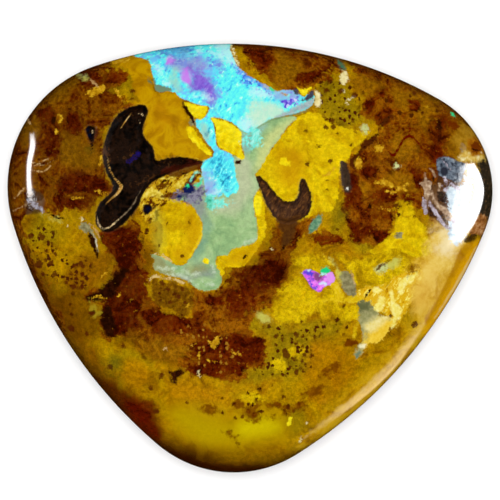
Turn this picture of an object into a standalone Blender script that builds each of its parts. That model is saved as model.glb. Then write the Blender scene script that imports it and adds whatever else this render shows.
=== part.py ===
"""A polished boulder opal: a freeform cabochon with a rounded triangular outline, one piece of stone.

The origin is at the middle of the flat back, +Z points out of the dome and +X runs along the
widest way across the stone. Sizes below are in millimetres; Blender gets metres.
"""

import math

import bmesh
import bpy
from mathutils import Vector

MM = 0.001

# The outline is six arcs, each tangent to the next: three corners joined by three bowed sides.
# Corners run anticlockwise as (x, y, radius); a side runs from its corner to the next one.
RIGHT_CORNER = (6.85, 3.35, 5.25)
LEFT_CORNER = (-5.75, 3.55, 6.35)
LOWER_CORNER = (-0.8, -4.8, 5.9)
TOP_SIDE_RADIUS = 21.0
LEFT_SIDE_RADIUS = 23.3
RIGHT_SIDE_RADIUS = 23.8

# The section, from the back up.
BACK_BEVEL = 0.5
GIRDLE_TOP = 1.6
DOME_RISE = 3.2
SHOULDER_SHARPNESS = 2.3

MERIDIANS = 96
DOME_RINGS = 15

# The hollows that the polish has not reached, each a closed outline with its depth at the lip.
# Their points are (x, y), seen from above, and the outline runs smoothly through them.
WINGED_HOLLOW = (
    (-5.45, 7.62), (-5.08, 7.3), (-5.3, 6.6), (-5.3, 6.1), (-4.85, 5.5), (-4.65, 4.85),
    (-4.1, 4.95), (-3.3, 5.0), (-2.35, 4.75), (-3.2, 4.5), (-4.1, 4.15), (-4.85, 3.75),
    (-5.3, 3.2), (-5.6, 2.5), (-6.3, 1.7), (-7.1, 1.28), (-7.65, 1.75), (-7.5, 2.65),
    (-6.78, 3.45), (-7.15, 4.3), (-7.3, 5.2), (-7.05, 6.3), (-6.5, 7.2),
)
FORKED_HOLLOW = (
    (0.3, 4.02), (0.68, 3.92), (1.25, 3.25), (1.65, 2.85), (2.1, 2.82), (2.4, 3.15),
    (2.45, 3.75), (2.68, 3.92), (2.95, 3.4), (3.07, 2.8), (2.85, 2.15), (2.1, 1.8),
    (1.45, 1.85), (0.95, 2.4), (0.6, 3.2),
)
SLOT = ((4.62, 5.2), (4.9, 5.1), (5.0, 4.4), (4.95, 3.5), (4.68, 3.3), (4.55, 4.2))
LEFT_PIT = ((-8.15, 6.45), (-7.75, 6.55), (-7.72, 6.1), (-7.95, 5.8))
LOWER_PIT = ((-5.3, 2.6), (-4.95, 2.62), (-4.9, 2.35), (-5.2, 2.15))
HOLLOWS = (
    (WINGED_HOLLOW, 0.5),
    (FORKED_HOLLOW, 0.35),
    (SLOT, 0.3),
    (LEFT_PIT, 0.4),
    (LOWER_PIT, 0.35),
)
POINTS_PER_SPAN = 3
FLOOR_ROUNDING = 0.15
ABOVE_THE_DOME = 2.0


def side_centre(start, end, radius):
    """The centre of the side that both corner circles touch from inside."""
    first, second = Vector(start[:2]), Vector(end[:2])
    reach_first, reach_second = radius - start[2], radius - end[2]
    along = second - first
    span = along.length
    along.normalize()
    foot = (reach_first**2 - reach_second**2 + span**2) / (2 * span)
    height = math.sqrt(reach_first**2 - foot**2)
    return first + along * foot + Vector((-along.y, along.x)) * height


def rim_arcs():
    """Every arc as (centre, radius, direction in which it ends), anticlockwise."""
    corners = (RIGHT_CORNER, LEFT_CORNER, LOWER_CORNER)
    radii = (TOP_SIDE_RADIUS, LEFT_SIDE_RADIUS, RIGHT_SIDE_RADIUS)
    arcs = []
    for i, corner in enumerate(corners):
        following = corners[(i + 1) % 3]
        centre = side_centre(corner, following, radii[i])
        corner_end = Vector(corner[:2]) - centre
        side_end = Vector(following[:2]) - centre
        arcs.append((Vector(corner[:2]), corner[2], corner_end))
        arcs.append((centre, radii[i], side_end))
    return arcs


RIM_ARCS = rim_arcs()


def rim_radius(angle):
    """How far the rim lies from the axis in a direction, where the arc of that direction is met."""
    direction = Vector((math.cos(angle), math.sin(angle)))
    for i, (centre, radius, arc_end) in enumerate(RIM_ARCS):
        along = centre.dot(direction)
        chord = radius**2 - centre.length_squared + along**2
        if chord < 0:
            continue
        reach = along + math.sqrt(chord)
        normal = direction * reach - centre
        arc_start = RIM_ARCS[i - 1][2]
        if arc_start.cross(normal) >= 0 and normal.cross(arc_end) >= 0 and normal.dot(arc_end) > 0:
            return reach
    raise ValueError("the arcs leave a gap in this direction")


def dome_height(x, y):
    """The height of the polished face over a point: a superellipse from the girdle to the crown."""
    share = min(1.0, math.hypot(x, y) / rim_radius(math.atan2(y, x)))
    fall = 1 - share**SHOULDER_SHARPNESS
    return GIRDLE_TOP + DOME_RISE * fall ** (1 / SHOULDER_SHARPNESS)


def section():
    """Half the section as (share of the rim's radius, height, inset), from the back's middle to the crown."""
    points = [(0.0, 0.0, 0.0), (1.0, 0.0, BACK_BEVEL), (1.0, BACK_BEVEL, 0.0)]
    for ring in range(DOME_RINGS + 1):
        turn = math.pi / 2 * ring / DOME_RINGS
        power = 2 / SHOULDER_SHARPNESS
        share = math.cos(turn) ** power if ring < DOME_RINGS else 0.0
        height = GIRDLE_TOP + DOME_RISE * math.sin(turn) ** power
        points.append((share, height, 0.0))
    return points


def new_object(name, mesh, collection, finish=None):
    placed = bpy.data.objects.new(name, mesh)
    collection.objects.link(placed)
    if finish:
        mesh.materials.append(finish)
    return placed


def make_stone(collection, finish):
    """The section spun once round the axis, then every ring pushed out to the rim."""
    shape = bmesh.new()
    outline = [shape.verts.new((share - inset, 0, height)) for share, height, inset in section()]
    edges = [shape.edges.new(pair) for pair in zip(outline, outline[1:])]
    bmesh.ops.spin(
        shape,
        geom=outline + edges,
        cent=(0, 0, 0),
        axis=(0, 0, 1),
        angle=2 * math.pi,
        steps=MERIDIANS,
        use_merge=True,
    )
    bmesh.ops.remove_doubles(shape, verts=shape.verts, dist=1e-5)
    for vert in shape.verts:
        flat = Vector((vert.co.x, vert.co.y))
        if flat.length > 1e-6:
            reach = rim_radius(math.atan2(flat.y, flat.x))
            inset = BACK_BEVEL if vert.co.z == 0 else 0.0
            share = flat.length + inset
            flat = flat.normalized() * (share * reach - inset)
        vert.co = Vector((flat.x, flat.y, vert.co.z)) * MM
    bmesh.ops.recalc_face_normals(shape, faces=shape.faces)
    mesh = bpy.data.meshes.new("stone")
    shape.to_mesh(mesh)
    shape.free()
    mesh.shade_smooth()
    mesh.set_sharp_from_angle(angle=math.radians(35))
    return new_object("stone", mesh, collection, finish)


def smooth_loop(points):
    """A closed curve through the points, as a Catmull-Rom spline."""
    loop = []
    for i in range(len(points)):
        before, start, end, after = (Vector(points[(i + k) % len(points)]) for k in (-1, 0, 1, 2))
        for step in range(POINTS_PER_SPAN):
            t = step / POINTS_PER_SPAN
            leave, arrive = (end - before) / 2, (after - start) / 2
            loop.append(
                start * (2 * t**3 - 3 * t**2 + 1)
                + leave * (t**3 - 2 * t**2 + t)
                + end * (3 * t**2 - 2 * t**3)
                + arrive * (t**3 - t**2)
            )
    return loop


def make_cutter(name, points, depth, collection):
    """A hollow's outline as a block whose rounded floor follows the dome, this deep under it."""
    shape = bmesh.new()
    corners = [shape.verts.new((p.x, p.y, 0)) for p in smooth_loop(points)]
    floor = shape.faces.new(corners)
    raised = bmesh.ops.extrude_face_region(shape, geom=[floor])["geom"]
    top = [v for v in raised if isinstance(v, bmesh.types.BMVert)]
    bmesh.ops.translate(shape, verts=top, vec=(0, 0, depth + ABOVE_THE_DOME))
    low_edges = [e for e in shape.edges if all(v.co.z == 0 for v in e.verts)]
    bmesh.ops.bevel(
        shape,
        geom=low_edges,
        offset=FLOOR_ROUNDING,
        offset_type="OFFSET",
        affect="EDGES",
        segments=2,
        profile=0.5,
        material=-1,
        clamp_overlap=True,
    )
    bmesh.ops.triangulate(shape, faces=shape.faces)
    bmesh.ops.recalc_face_normals(shape, faces=shape.faces)
    for vert in shape.verts:
        vert.co.z += dome_height(vert.co.x, vert.co.y) - depth
        vert.co *= MM
    mesh = bpy.data.meshes.new(name)
    shape.to_mesh(mesh)
    shape.free()
    cutter = new_object(name, mesh, collection)
    cutter.hide_render = True
    cutter.display_type = "WIRE"
    return cutter


def ironstone():
    """Polished brown ironstone with yellow limonite."""
    finish = bpy.data.materials.new("ironstone")
    finish.use_nodes = True
    shader = finish.node_tree.nodes["Principled BSDF"]
    shader.inputs["Base Color"].default_value = (0.32, 0.17, 0.012, 1)
    shader.inputs["Roughness"].default_value = 0.12
    shader.inputs["Metallic"].default_value = 0.0
    return finish


def clear_scene():
    for old in list(bpy.data.objects):
        bpy.data.objects.remove(old, do_unlink=True)


def new_collection(name):
    made = bpy.data.collections.new(name)
    bpy.context.scene.collection.children.link(made)
    return made


def main():
    clear_scene()
    stone = make_stone(new_collection("boulder_opal"), ironstone())
    cutters = new_collection("cutters")
    for number, (points, depth) in enumerate(HOLLOWS):
        cutter = make_cutter(f"hollow_{number}", points, depth, cutters)
        cut = stone.modifiers.new(cutter.name, "BOOLEAN")
        cut.operation = "DIFFERENCE"
        cut.solver = "EXACT"
        cut.object = cutter


main()
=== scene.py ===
import math

import bmesh
import bpy
import numpy as np
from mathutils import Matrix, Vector


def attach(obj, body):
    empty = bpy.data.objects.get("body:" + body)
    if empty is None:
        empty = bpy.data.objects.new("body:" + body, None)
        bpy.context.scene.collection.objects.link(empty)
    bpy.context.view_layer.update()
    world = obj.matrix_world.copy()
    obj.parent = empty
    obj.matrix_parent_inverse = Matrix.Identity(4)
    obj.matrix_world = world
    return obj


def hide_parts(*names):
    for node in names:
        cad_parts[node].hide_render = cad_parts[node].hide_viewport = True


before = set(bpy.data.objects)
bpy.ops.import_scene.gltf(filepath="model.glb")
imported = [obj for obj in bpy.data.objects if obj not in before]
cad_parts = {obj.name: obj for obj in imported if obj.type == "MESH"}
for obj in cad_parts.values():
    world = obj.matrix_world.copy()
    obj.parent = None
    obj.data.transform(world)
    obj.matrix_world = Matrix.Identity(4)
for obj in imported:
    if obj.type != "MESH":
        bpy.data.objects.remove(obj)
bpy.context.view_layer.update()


# ------------------------------------------------------------------------------
# The cut stone
# One piece of Queensland boulder opal, ground to a freeform cabochon: a domed face over a short
# upright girdle, a bevel and a flat back. The cutter follows the rough, so its outline is a
# lopsided rounded triangle. Lengths are in millimetres until a mesh or a light is placed.
# ------------------------------------------------------------------------------
MM = 0.001
CORNERS = ((6.85, 3.35, 5.25), (-5.75, 3.55, 6.35), (-0.8, -4.8, 5.9))  # x, y and radius
SIDE_RADII = (21.0, 23.3, 23.8)
GIRDLE_TOP = 1.6
DOME_RISE = 3.2
SHOULDER = 2.3  # 2 would make the dome elliptical; more makes its shoulder squarer
CELLS = 280  # across the grid that the face is drawn from


def arcs_of_the_rim():
    """The outline as six arcs, anticlockwise: centre, radius, where it starts, where it ends."""
    sides = []
    for i, radius in enumerate(SIDE_RADII):
        first, second = np.array(CORNERS[i]), np.array(CORNERS[(i + 1) % 3])
        reach_1, reach_2 = radius - first[2], radius - second[2]
        along = (second - first)[:2]
        span = np.hypot(*along)
        along = along / span
        foot = (reach_1**2 - reach_2**2 + span**2) / (2 * span)
        height = math.sqrt(reach_1**2 - foot**2)
        sides.append(first[:2] + along * foot + np.array((-along[1], along[0])) * height)
    arcs = []
    for i, (*centre, radius) in enumerate(CORNERS):
        following = np.array(CORNERS[(i + 1) % 3][:2])
        arcs.append((np.array(centre), radius, centre - sides[i - 1], centre - sides[i]))
        arcs.append((sides[i], SIDE_RADII[i], centre - sides[i], following - sides[i]))
    return arcs


def reach_of_the_rim(angle):
    """How far the rim lies from the middle, in each of these directions."""
    heading = np.stack((np.cos(angle), np.sin(angle)), -1)
    reach = np.full(heading.shape[:-1], 10.0)
    for centre, radius, start, end in arcs_of_the_rim():
        along = heading @ centre
        chord = radius**2 - centre @ centre + along**2
        distance = along + np.sqrt(np.maximum(chord, 0))
        out = heading * distance[..., None] - centre
        after_start = start[0] * out[..., 1] - start[1] * out[..., 0] >= 0
        before_end = out[..., 0] * end[1] - out[..., 1] * end[0] >= 0
        here = (chord > 0) & after_start & before_end & (out @ end > 0)
        reach = np.where(here, distance, reach)
    return reach


def dome_height(share):
    """The height of the dome at this share of the way from its middle to the rim."""
    return GIRDLE_TOP + DOME_RISE * (1 - share**SHOULDER) ** (1 / SHOULDER)


def dome(x, y):
    """The height of the polished face over these points."""
    return dome_height(np.minimum(1, np.hypot(x, y) / reach_of_the_rim(np.arctan2(y, x))))


# A square grid is drawn out into a round one, ring by ring. The rings crowd towards the rim, where
# the dome turns over.
cut = bmesh.new()
bmesh.ops.create_grid(cut, x_segments=CELLS, y_segments=CELLS, size=1.0)
square = np.array([v.co[:2] for v in cut.verts])
ring = np.abs(square).max(axis=1)
wide = np.abs(square[:, 0]) >= np.abs(square[:, 1])
major = np.where(wide, square[:, 0], square[:, 1])
minor = np.where(wide, square[:, 1], -square[:, 0])
turn = minor / np.where(major == 0, 1, major) * math.pi / 4
turn += np.where(wide, 0, math.pi / 2) + np.where(major < 0, math.pi, 0)
share = 0.35 * ring + 0.65 * np.sin(ring * math.pi / 2)
radius = share * reach_of_the_rim(turn)
face_z = dome_height(np.minimum(share, 1))
for vert, x, y, z in zip(cut.verts, radius * np.cos(turn), radius * np.sin(turn), face_z):
    vert.co = (x, y, z)

# Below the dome: how far each ring stands in from the rim, and its height, down to the back.
BELOW_THE_DOME = (
    (0.0, 1.3), (0.0, 0.95), (0.0, 0.66), (0.02, 0.52), (0.08, 0.42), (0.25, 0.25), (0.42, 0.08),
    (0.52, 0.02), (0.66, 0.0), (1.6, 0.0), (3.2, 0.0), (5.2, 0.0), (7.2, 0.0),
)
rim_edges = [e for e in cut.edges if e.is_boundary]
for inset, height in BELOW_THE_DOME:
    drawn = bmesh.ops.extrude_edge_only(cut, edges=rim_edges)["geom"]
    rim_edges = [e for e in drawn if isinstance(e, bmesh.types.BMEdge)]
    loop = [v for v in drawn if isinstance(v, bmesh.types.BMVert)]
    heading = np.array([math.atan2(v.co.y, v.co.x) for v in loop])
    reach = reach_of_the_rim(heading) - inset
    for vert, angle, distance in zip(loop, heading, reach):
        vert.co = (distance * math.cos(angle), distance * math.sin(angle), height)
bmesh.ops.pointmerge(cut, verts=loop, merge_co=(0, 0, 0))
bmesh.ops.recalc_face_normals(cut, faces=cut.faces)
mesh = bpy.data.meshes.new("polished_stone")
cut.to_mesh(mesh)
cut.free()
place = np.array([v.co for v in mesh.vertices], float)
X, Y = place[:, 0].copy(), place[:, 1].copy()
on_face = place[:, 2] >= GIRDLE_TOP - 1e-4

# The bake map is two discs, given by their middles and radii on the map. The larger one is the
# face and the girdle, unrolled outwards from the crown; the smaller one beside it is the back.
MEAN_REACH = 11.0
GIRDLE_UNROLLED = 2.3
BACK_REACH = 12.6
FACE_DISC, FACE_DISC_RADIUS = (0.408, 0.592), 0.405
BACK_DISC, BACK_DISC_RADIUS = (0.836, 0.164), 0.155
shares = np.linspace(0, 1, 2001)
steps = np.hypot(np.diff(shares) * MEAN_REACH, np.diff(dome_height(shares)))
unrolled = np.concatenate(((0,), np.cumsum(steps)))
angle = np.arctan2(Y, X)
share = np.hypot(X, Y) / reach_of_the_rim(angle)
below = unrolled[-1] + GIRDLE_TOP - place[:, 2] + (1 - share) * MEAN_REACH
distance = np.where(on_face, np.interp(share, shares, unrolled), below)
distance *= FACE_DISC_RADIUS / (unrolled[-1] + GIRDLE_UNROLLED)
face_map = np.stack((np.cos(angle), np.sin(angle)), 1) * distance[:, None] + FACE_DISC
back_map = np.stack((X, -Y), 1) * BACK_DISC_RADIUS / BACK_REACH + BACK_DISC
corner_of = np.array([corner.vertex_index for corner in mesh.loops])
flat_on_table = [max(place[v, 2] for v in face.vertices) < 0.01 for face in mesh.polygons]
is_back = np.repeat(flat_on_table, [face.loop_total for face in mesh.polygons])
bake_map = np.where(is_back[:, None], back_map[corner_of], face_map[corner_of])
mesh.uv_layers.new(name="OFBake").data.foreach_set("uv", bake_map.ravel())


# ------------------------------------------------------------------------------
# The limonite ground
# Yellow iron oxide that fills most of the stone, from honey through olive to a rich yellow. It
# polishes to a gloss and is a little translucent towards the lower tip.
# ------------------------------------------------------------------------------
finish = bpy.data.materials.new("boulder_opal")
finish.use_nodes = True
tree = finish.node_tree
shader = tree.nodes["Principled BSDF"]


def add(kind, *links, **settings):
    """A node with its inputs joined or set in order, and its settings; returns the node."""
    made = tree.nodes.new("ShaderNode" + kind)
    for name, value in settings.items():
        setattr(made, name, value)
    for socket, value in zip(made.inputs, links):
        if isinstance(value, bpy.types.NodeSocket):
            tree.links.new(value, socket)
        elif value is not None:
            socket.default_value = value
    return made


def calculate(operation, first, second=0.5, third=0.5):
    """A sum of up to three numbers, worked out in the shader."""
    return add("Math", first, second, third, operation=operation).outputs[0]


# Patterns are laid out in millimetres over the stone.
coordinates = add("TexCoord").outputs["Object"]
enlarged = add("Mapping", coordinates, vector_type="POINT")
enlarged.inputs["Scale"].default_value = (1 / MM, 1 / MM, 1 / MM)
MILLIMETRES = enlarged.outputs[0]


def grain(per_mm, detail=4.0, roughness=0.55, distortion=0.0, over=MILLIMETRES):
    """Three unrelated noises of this fineness, from 0 to 1."""
    noise = add("TexNoise", over, noise_dimensions="3D")
    for name, value in (("Scale", per_mm), ("Detail", detail), ("Roughness", roughness),
                        ("Distortion", distortion)):
        noise.inputs[name].default_value = value
    return tuple(add("SeparateColor", noise.outputs["Color"]).outputs)


COARSE = grain(0.35, detail=2.0)
MIDDLE = grain(1.3, detail=4.0)
FINE = grain(5.0, detail=4.0, roughness=0.6)
DUST = grain(17.0, detail=2.0)
FLOW = grain(0.9, detail=6.0, roughness=0.64, distortion=0.7)

CHART_LIGHT = 0.67


def linear(red, green, blue):
    """A colour off a brightly lit paint chart, 0 to 255, in the shader's linear light."""
    shares = [c / 255 for c in (red, green, blue)]
    return [CHART_LIGHT * (c / 12.92 if c <= 0.04045 else ((c + 0.055) / 1.055) ** 2.4)
            for c in shares] + [1.0]


def blend(below, above, amount):
    """One colour laid over another."""
    mix = add("Mix", data_type="RGBA", clamp_factor=True)
    for name, value in (("Factor", amount), ("A", below), ("B", above)):
        socket = next(s for s in mix.inputs if s.name == name and s.enabled)
        if isinstance(value, bpy.types.NodeSocket):
            tree.links.new(value, socket)
        else:
            socket.default_value = value
    return next(s for s in mix.outputs if s.enabled)


def slide(low, high, amount, start=0.0, end=1.0):
    """A number that eases from low to high as the amount goes from start to end."""
    return add("MapRange", amount, start, end, low, high,
               interpolation_type="SMOOTHSTEP", clamp=False).outputs[0]


def between(value, low, high, most=1.0):
    """0 below low, and the most above high, with a soft start and end."""
    return slide(0.0, most, value, low, high)


def tints(noise, *colours, spread=(0.3, 0.7)):
    """A colour that runs through these as the noise goes from low to high."""
    ramp = add("ValToRGB", noise)
    stops = ramp.color_ramp.elements
    low, high = spread
    stops[0].position, stops[1].position = low, high
    for i in range(1, len(colours) - 1):
        stops.new(low + (high - low) * i / (len(colours) - 1))
    for stop, colour in zip(stops, colours):
        stop.color = linear(*colour)
    return ramp.outputs[0]


# Every area is drawn as shapes over the face. A shape says how far each point of the mesh lies from
# its edge, in mm, positive inside; it looks no further out than the reach.
REACH = 1.2
CURVE_STEPS = 5


def beside(x, y, start, end):
    """How far along a straight step these points lie, from 0 to 1, and how far off it."""
    dx, dy = end[0] - start[0], end[1] - start[1]
    along = ((x - start[0]) * dx + (y - start[1]) * dy) / max(dx * dx + dy * dy, 1e-12)
    along = np.clip(along, 0, 1)
    return along, np.hypot(x - start[0] - along * dx, y - start[1] - along * dy)


def edge_distance(outline, x, y):
    """Distance to a closed outline of many short straight steps."""
    nearest = np.full(x.shape, REACH)
    inside = np.zeros(x.shape, bool)
    for (x1, y1), (x2, y2) in zip(outline, np.roll(outline, -1, axis=0)):
        nearest = np.minimum(nearest, beside(x, y, (x1, y1), (x2, y2))[1])
        if y1 != y2:
            inside ^= ((y1 > y) != (y2 > y)) & (x < x1 + (y - y1) / (y2 - y1) * (x2 - x1))
    return np.where(inside, nearest, -nearest)


def curve_through(points, closed=True):
    """A smooth curve through these points."""
    if closed:
        before, start, end, after = (np.roll(points, -k, axis=0) for k in (-1, 0, 1, 2))
    else:
        points = np.concatenate(
            (2 * points[:1] - points[1:2], points, 2 * points[-1:] - points[-2:-1]))
        before, start, end, after = (points[k:len(points) - 3 + k] for k in range(4))
    t = np.linspace(0, 1, CURVE_STEPS, endpoint=False)[None, :, None]
    leave, arrive = ((end - before) / 2)[:, None], ((after - start) / 2)[:, None]
    start, end = start[:, None], end[:, None]
    curve = (start * (2 * t**3 - 3 * t**2 + 1) + leave * (t**3 - 2 * t**2 + t)
             + end * (3 * t**2 - 2 * t**3) + arrive * (t**3 - t**2))
    curve = curve.reshape(-1, points.shape[1])
    return curve if closed else np.concatenate((curve, points[-2:-1]))


def patch(*corners):
    """An area inside a smooth outline, given as x, y, x, y and so on."""
    outline = curve_through(np.reshape(corners, (-1, 2)))
    low, high = outline.min(axis=0) - REACH, outline.max(axis=0) + REACH
    near = (X > low[0]) & (X < high[0]) & (Y > low[1]) & (Y < high[1])
    distance = np.full(X.shape, -REACH)
    distance[near] = edge_distance(outline, X[near], Y[near])
    return distance


def field(name, *shapes):
    """Keeps these shapes' distances on the mesh as one, and reads them in the shader."""
    distance = np.maximum.reduce(shapes)
    mesh.attributes.new(name, "FLOAT", "POINT").data.foreach_set("value", distance)
    return add("Attribute", attribute_name=name).outputs["Fac"]


# Noise keeps close to its middle, so it is stretched to reach about 1 either way.
NOISE_STRETCH = 5


def jumble(*parts):
    """Roughness for an edge, to either side of 0, from (noise, share) parts."""
    total = -NOISE_STRETCH / 2 * sum(share for _, share in parts)
    for noise, share in parts:
        total = calculate("MULTIPLY_ADD", noise, NOISE_STRETCH * share, total)
    return total


def ragged(distance, wander, roughness):
    """The same distance, with an edge that wanders about this far, in mm."""
    return calculate("MULTIPLY_ADD", roughness, wander, distance)


CLOUDY = jumble((FLOW[0], 1.0), (MIDDLE[1], 0.6), (FINE[1], 0.25))
BROKEN = jumble((MIDDLE[2], 1.0), (FINE[2], 0.6), (DUST[0], 0.2))
CRISP = jumble((FINE[0], 1.0), (DUST[1], 0.5))


def paint(base, name, tint, *shapes, soft=0.05, wander=0.05, by=CRISP, strength=1.0):
    """Lays a tint over what is there, inside shapes whose edge is soft and wanders, in mm."""
    edge = ragged(field(name, *shapes), wander, by)
    amount = between(edge, -soft, soft, strength)
    return blend(base, linear(*tint) if isinstance(tint, tuple) else tint, amount)


honey = tints(FLOW[0], (136, 88, 0), (168, 120, 0), (180, 138, 0), (160, 112, 0),
    spread=(0.32, 0.68))
olive = tints(FLOW[1], (112, 84, 2), (146, 118, 4), (160, 130, 4), (130, 98, 0),
    spread=(0.32, 0.68))
colour = blend(honey, olive, between(COARSE[1], 0.54, 0.74))
colour = paint(colour, "olive", olive,
    patch(-11.1, 1.9, -10.4, 2.1, -9.7, 1.7, -9.5, 0.9, -10.1, 0.6, -10.9, 0.9),
    patch(-9, 6, -8.3, 6.2, -7.9, 5.5, -8, 4.8, -8.9, 4.6),
    patch(3.4, 9, 4.2, 9.2, 5.7, 7.5, 5.4, 6.6, 4.4, 6.5, 3.4, 7.3),
    patch(-7.1, -4.9, -5.6, -4.6, -4.4, -5.8, -6, -5, -6.3, -6.2, -6.7, -6.4),
    patch(5, 0.8, 5.8, 0.9, 6.1, 0.4, 5.4, 0.1),
    patch(4.05, 2.9, 4.5, 3, 4.8, 2.2, 4.6, 1.4, 4.1, 1.5),
    patch(0, -3.1, 1.5, -3.3, 4.6, -3, 4, -3.8, 3.2, -4.3, 3, -5.3, 2.2, -5.9, -1, -6.2, 0.2, -5.5,
        0.9, -4.4), soft=0.4, wander=0.3, by=CLOUDY)
rich_yellow = tints(FLOW[2], (172, 132, 0), (198, 160, 0), (214, 182, 4), (192, 154, 0),
    spread=(0.32, 0.68))
colour = paint(colour, "yellow", rich_yellow,
    patch(4.3, 0.2, 5.2, -0.1, 7, 0.5, 8, -0.6, 6.3, -1.6, 5.2, -1.3, 5, -0.7),
    patch(1.6, -1.6, 2.5, -1, 3, -1.6, 3.5, -1.9, 4.2, -1.6, 4.5, -2.3, 5.2, -2.4, 5.3, -3, 4, -3,
        3.4, -2.8, 2.6, -3.1, 1.8, -3.2, 1.2, -2.9),
    patch(1.9, -4.5, 2.7, -4.4, 2.6, -4.8, 2.1, -4.9),
    patch(1.1, -5.15, 1.5, -5.1, 1.7, -5.4, 1.3, -5.6),
    patch(2.1, 0, 2.9, 0.15, 4.1, -0.3, 3.3, -0.7, 2.6, -0.5),
    patch(-0.3, -6.8, 0.3, -6.6, 0.6, -7, 0.2, -7.3, -0.2, -7.2),
    patch(7.2, 2.8, 7.9, 2.9, 8.2, 2.2, 7.4, 2.1, 7.1, 2.4),
    patch(5.2, 4.9, 5.6, 4.9, 5.6, 4.4, 5.3, 4.4),
    patch(6, 5.6, 6.5, 5.7, 6.5, 5.3, 6.1, 5.2),
    patch(8.4, 4.6, 8.9, 4.7, 8.9, 4.3, 8.5, 4.2), soft=0.16, wander=0.2, by=CLOUDY)

colour = paint(colour, "burnt_honey", (122, 68, 0),
    patch(-10.9, -0.2, -8.8, -2.2, -8.3, -3.6, -7, -5.6, -6.5, -6.4, -7.6, -7.2, -9.8, -4.8,
        -12, -1),
    patch(-8.8, -0.1, -7, 0.3, -6.9, -0.5, -7.6, -1.4, -8.6, -1.8, -9.2, -1.2),
    soft=0.45, wander=0.3, by=CLOUDY, strength=0.75)
colour = paint(colour, "orange_honey", (174, 112, 0),
    patch(-6.4, -5.3, -5.6, -5.1, -4.9, -5.6, -4.8, -6.3, -5.6, -6.6, -6.3, -6.3),
    patch(-4, -6.4, -2.6, -6.2, -1.6, -6.5, -1.4, -7.1, -3.8, -7),
    patch(3, -4.2, 4.6, -4.4, 5.2, -5.2, 4.8, -6.4, 3.6, -7.2, 2.8, -6.2),
    soft=0.3, wander=0.25, by=CLOUDY, strength=0.55)
colour = paint(colour, "brown_haze", (112, 66, 0),
    patch(-5.6, -4.2, -3.3, -4.5, -2.9, -5, -3.4, -5.5, -5.2, -4.9),
    patch(-9.2, -1.6, -8.2, -1.5, -7.6, -2.3, -7.5, -3.6, -8, -4.2, -9, -3.6, -9.8, -2.4),
    patch(-5.6, 0.6, -4.9, 0.5, -4.8, -0.4, -5.2, -0.8, -5.7, -0.2),
    soft=0.3, wander=0.2, by=CLOUDY, strength=0.8)

# The lower tip: a painted glow, standing in for light through the translucent honey.
painted_glow_distance = field("glow",
    patch(-3.6, -7.7, -1.2, -8.2, 0.2, -8, 1.2, -8.1, 1.6, -8.5, 0.8, -8.9, -1.8, -9.2, -2.8, -8.8))
colour = blend(colour, linear(182, 152, 0), between(painted_glow_distance, -0.9, 0.5))
painted_tip_light = field("painted_tip_light", patch(-0.5, -8.3, 0.2, -8, 1, -8.1, 1.3, -8.5, -0.3, -8.8))
colour = blend(colour, linear(206, 184, 2), between(painted_tip_light, -0.45, 0.35))


# ------------------------------------------------------------------------------
# The ironstone
# Brown to red-brown ironstone in ragged bodies through the limonite, darkest in its veins. It is
# harder than the limonite and takes the same polish.
# ------------------------------------------------------------------------------
# A streak's steps are short, so each looks only at the points this close to it.
STEP_REACH = 2.0


def streak(*stops):
    """A line through points, each given as x, y and half its width."""
    curve = curve_through(np.reshape(stops, (-1, 3)), closed=False)
    distance = np.full(X.shape, -REACH)
    for start, end in zip(curve, curve[1:]):
        near = (np.abs(X - start[0]) < STEP_REACH) & (np.abs(Y - start[1]) < STEP_REACH)
        along, away = beside(X[near], Y[near], start, end)
        inside = start[2] + (end[2] - start[2]) * along - away
        distance[near] = np.maximum(distance[near], inside)
    return distance


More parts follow.
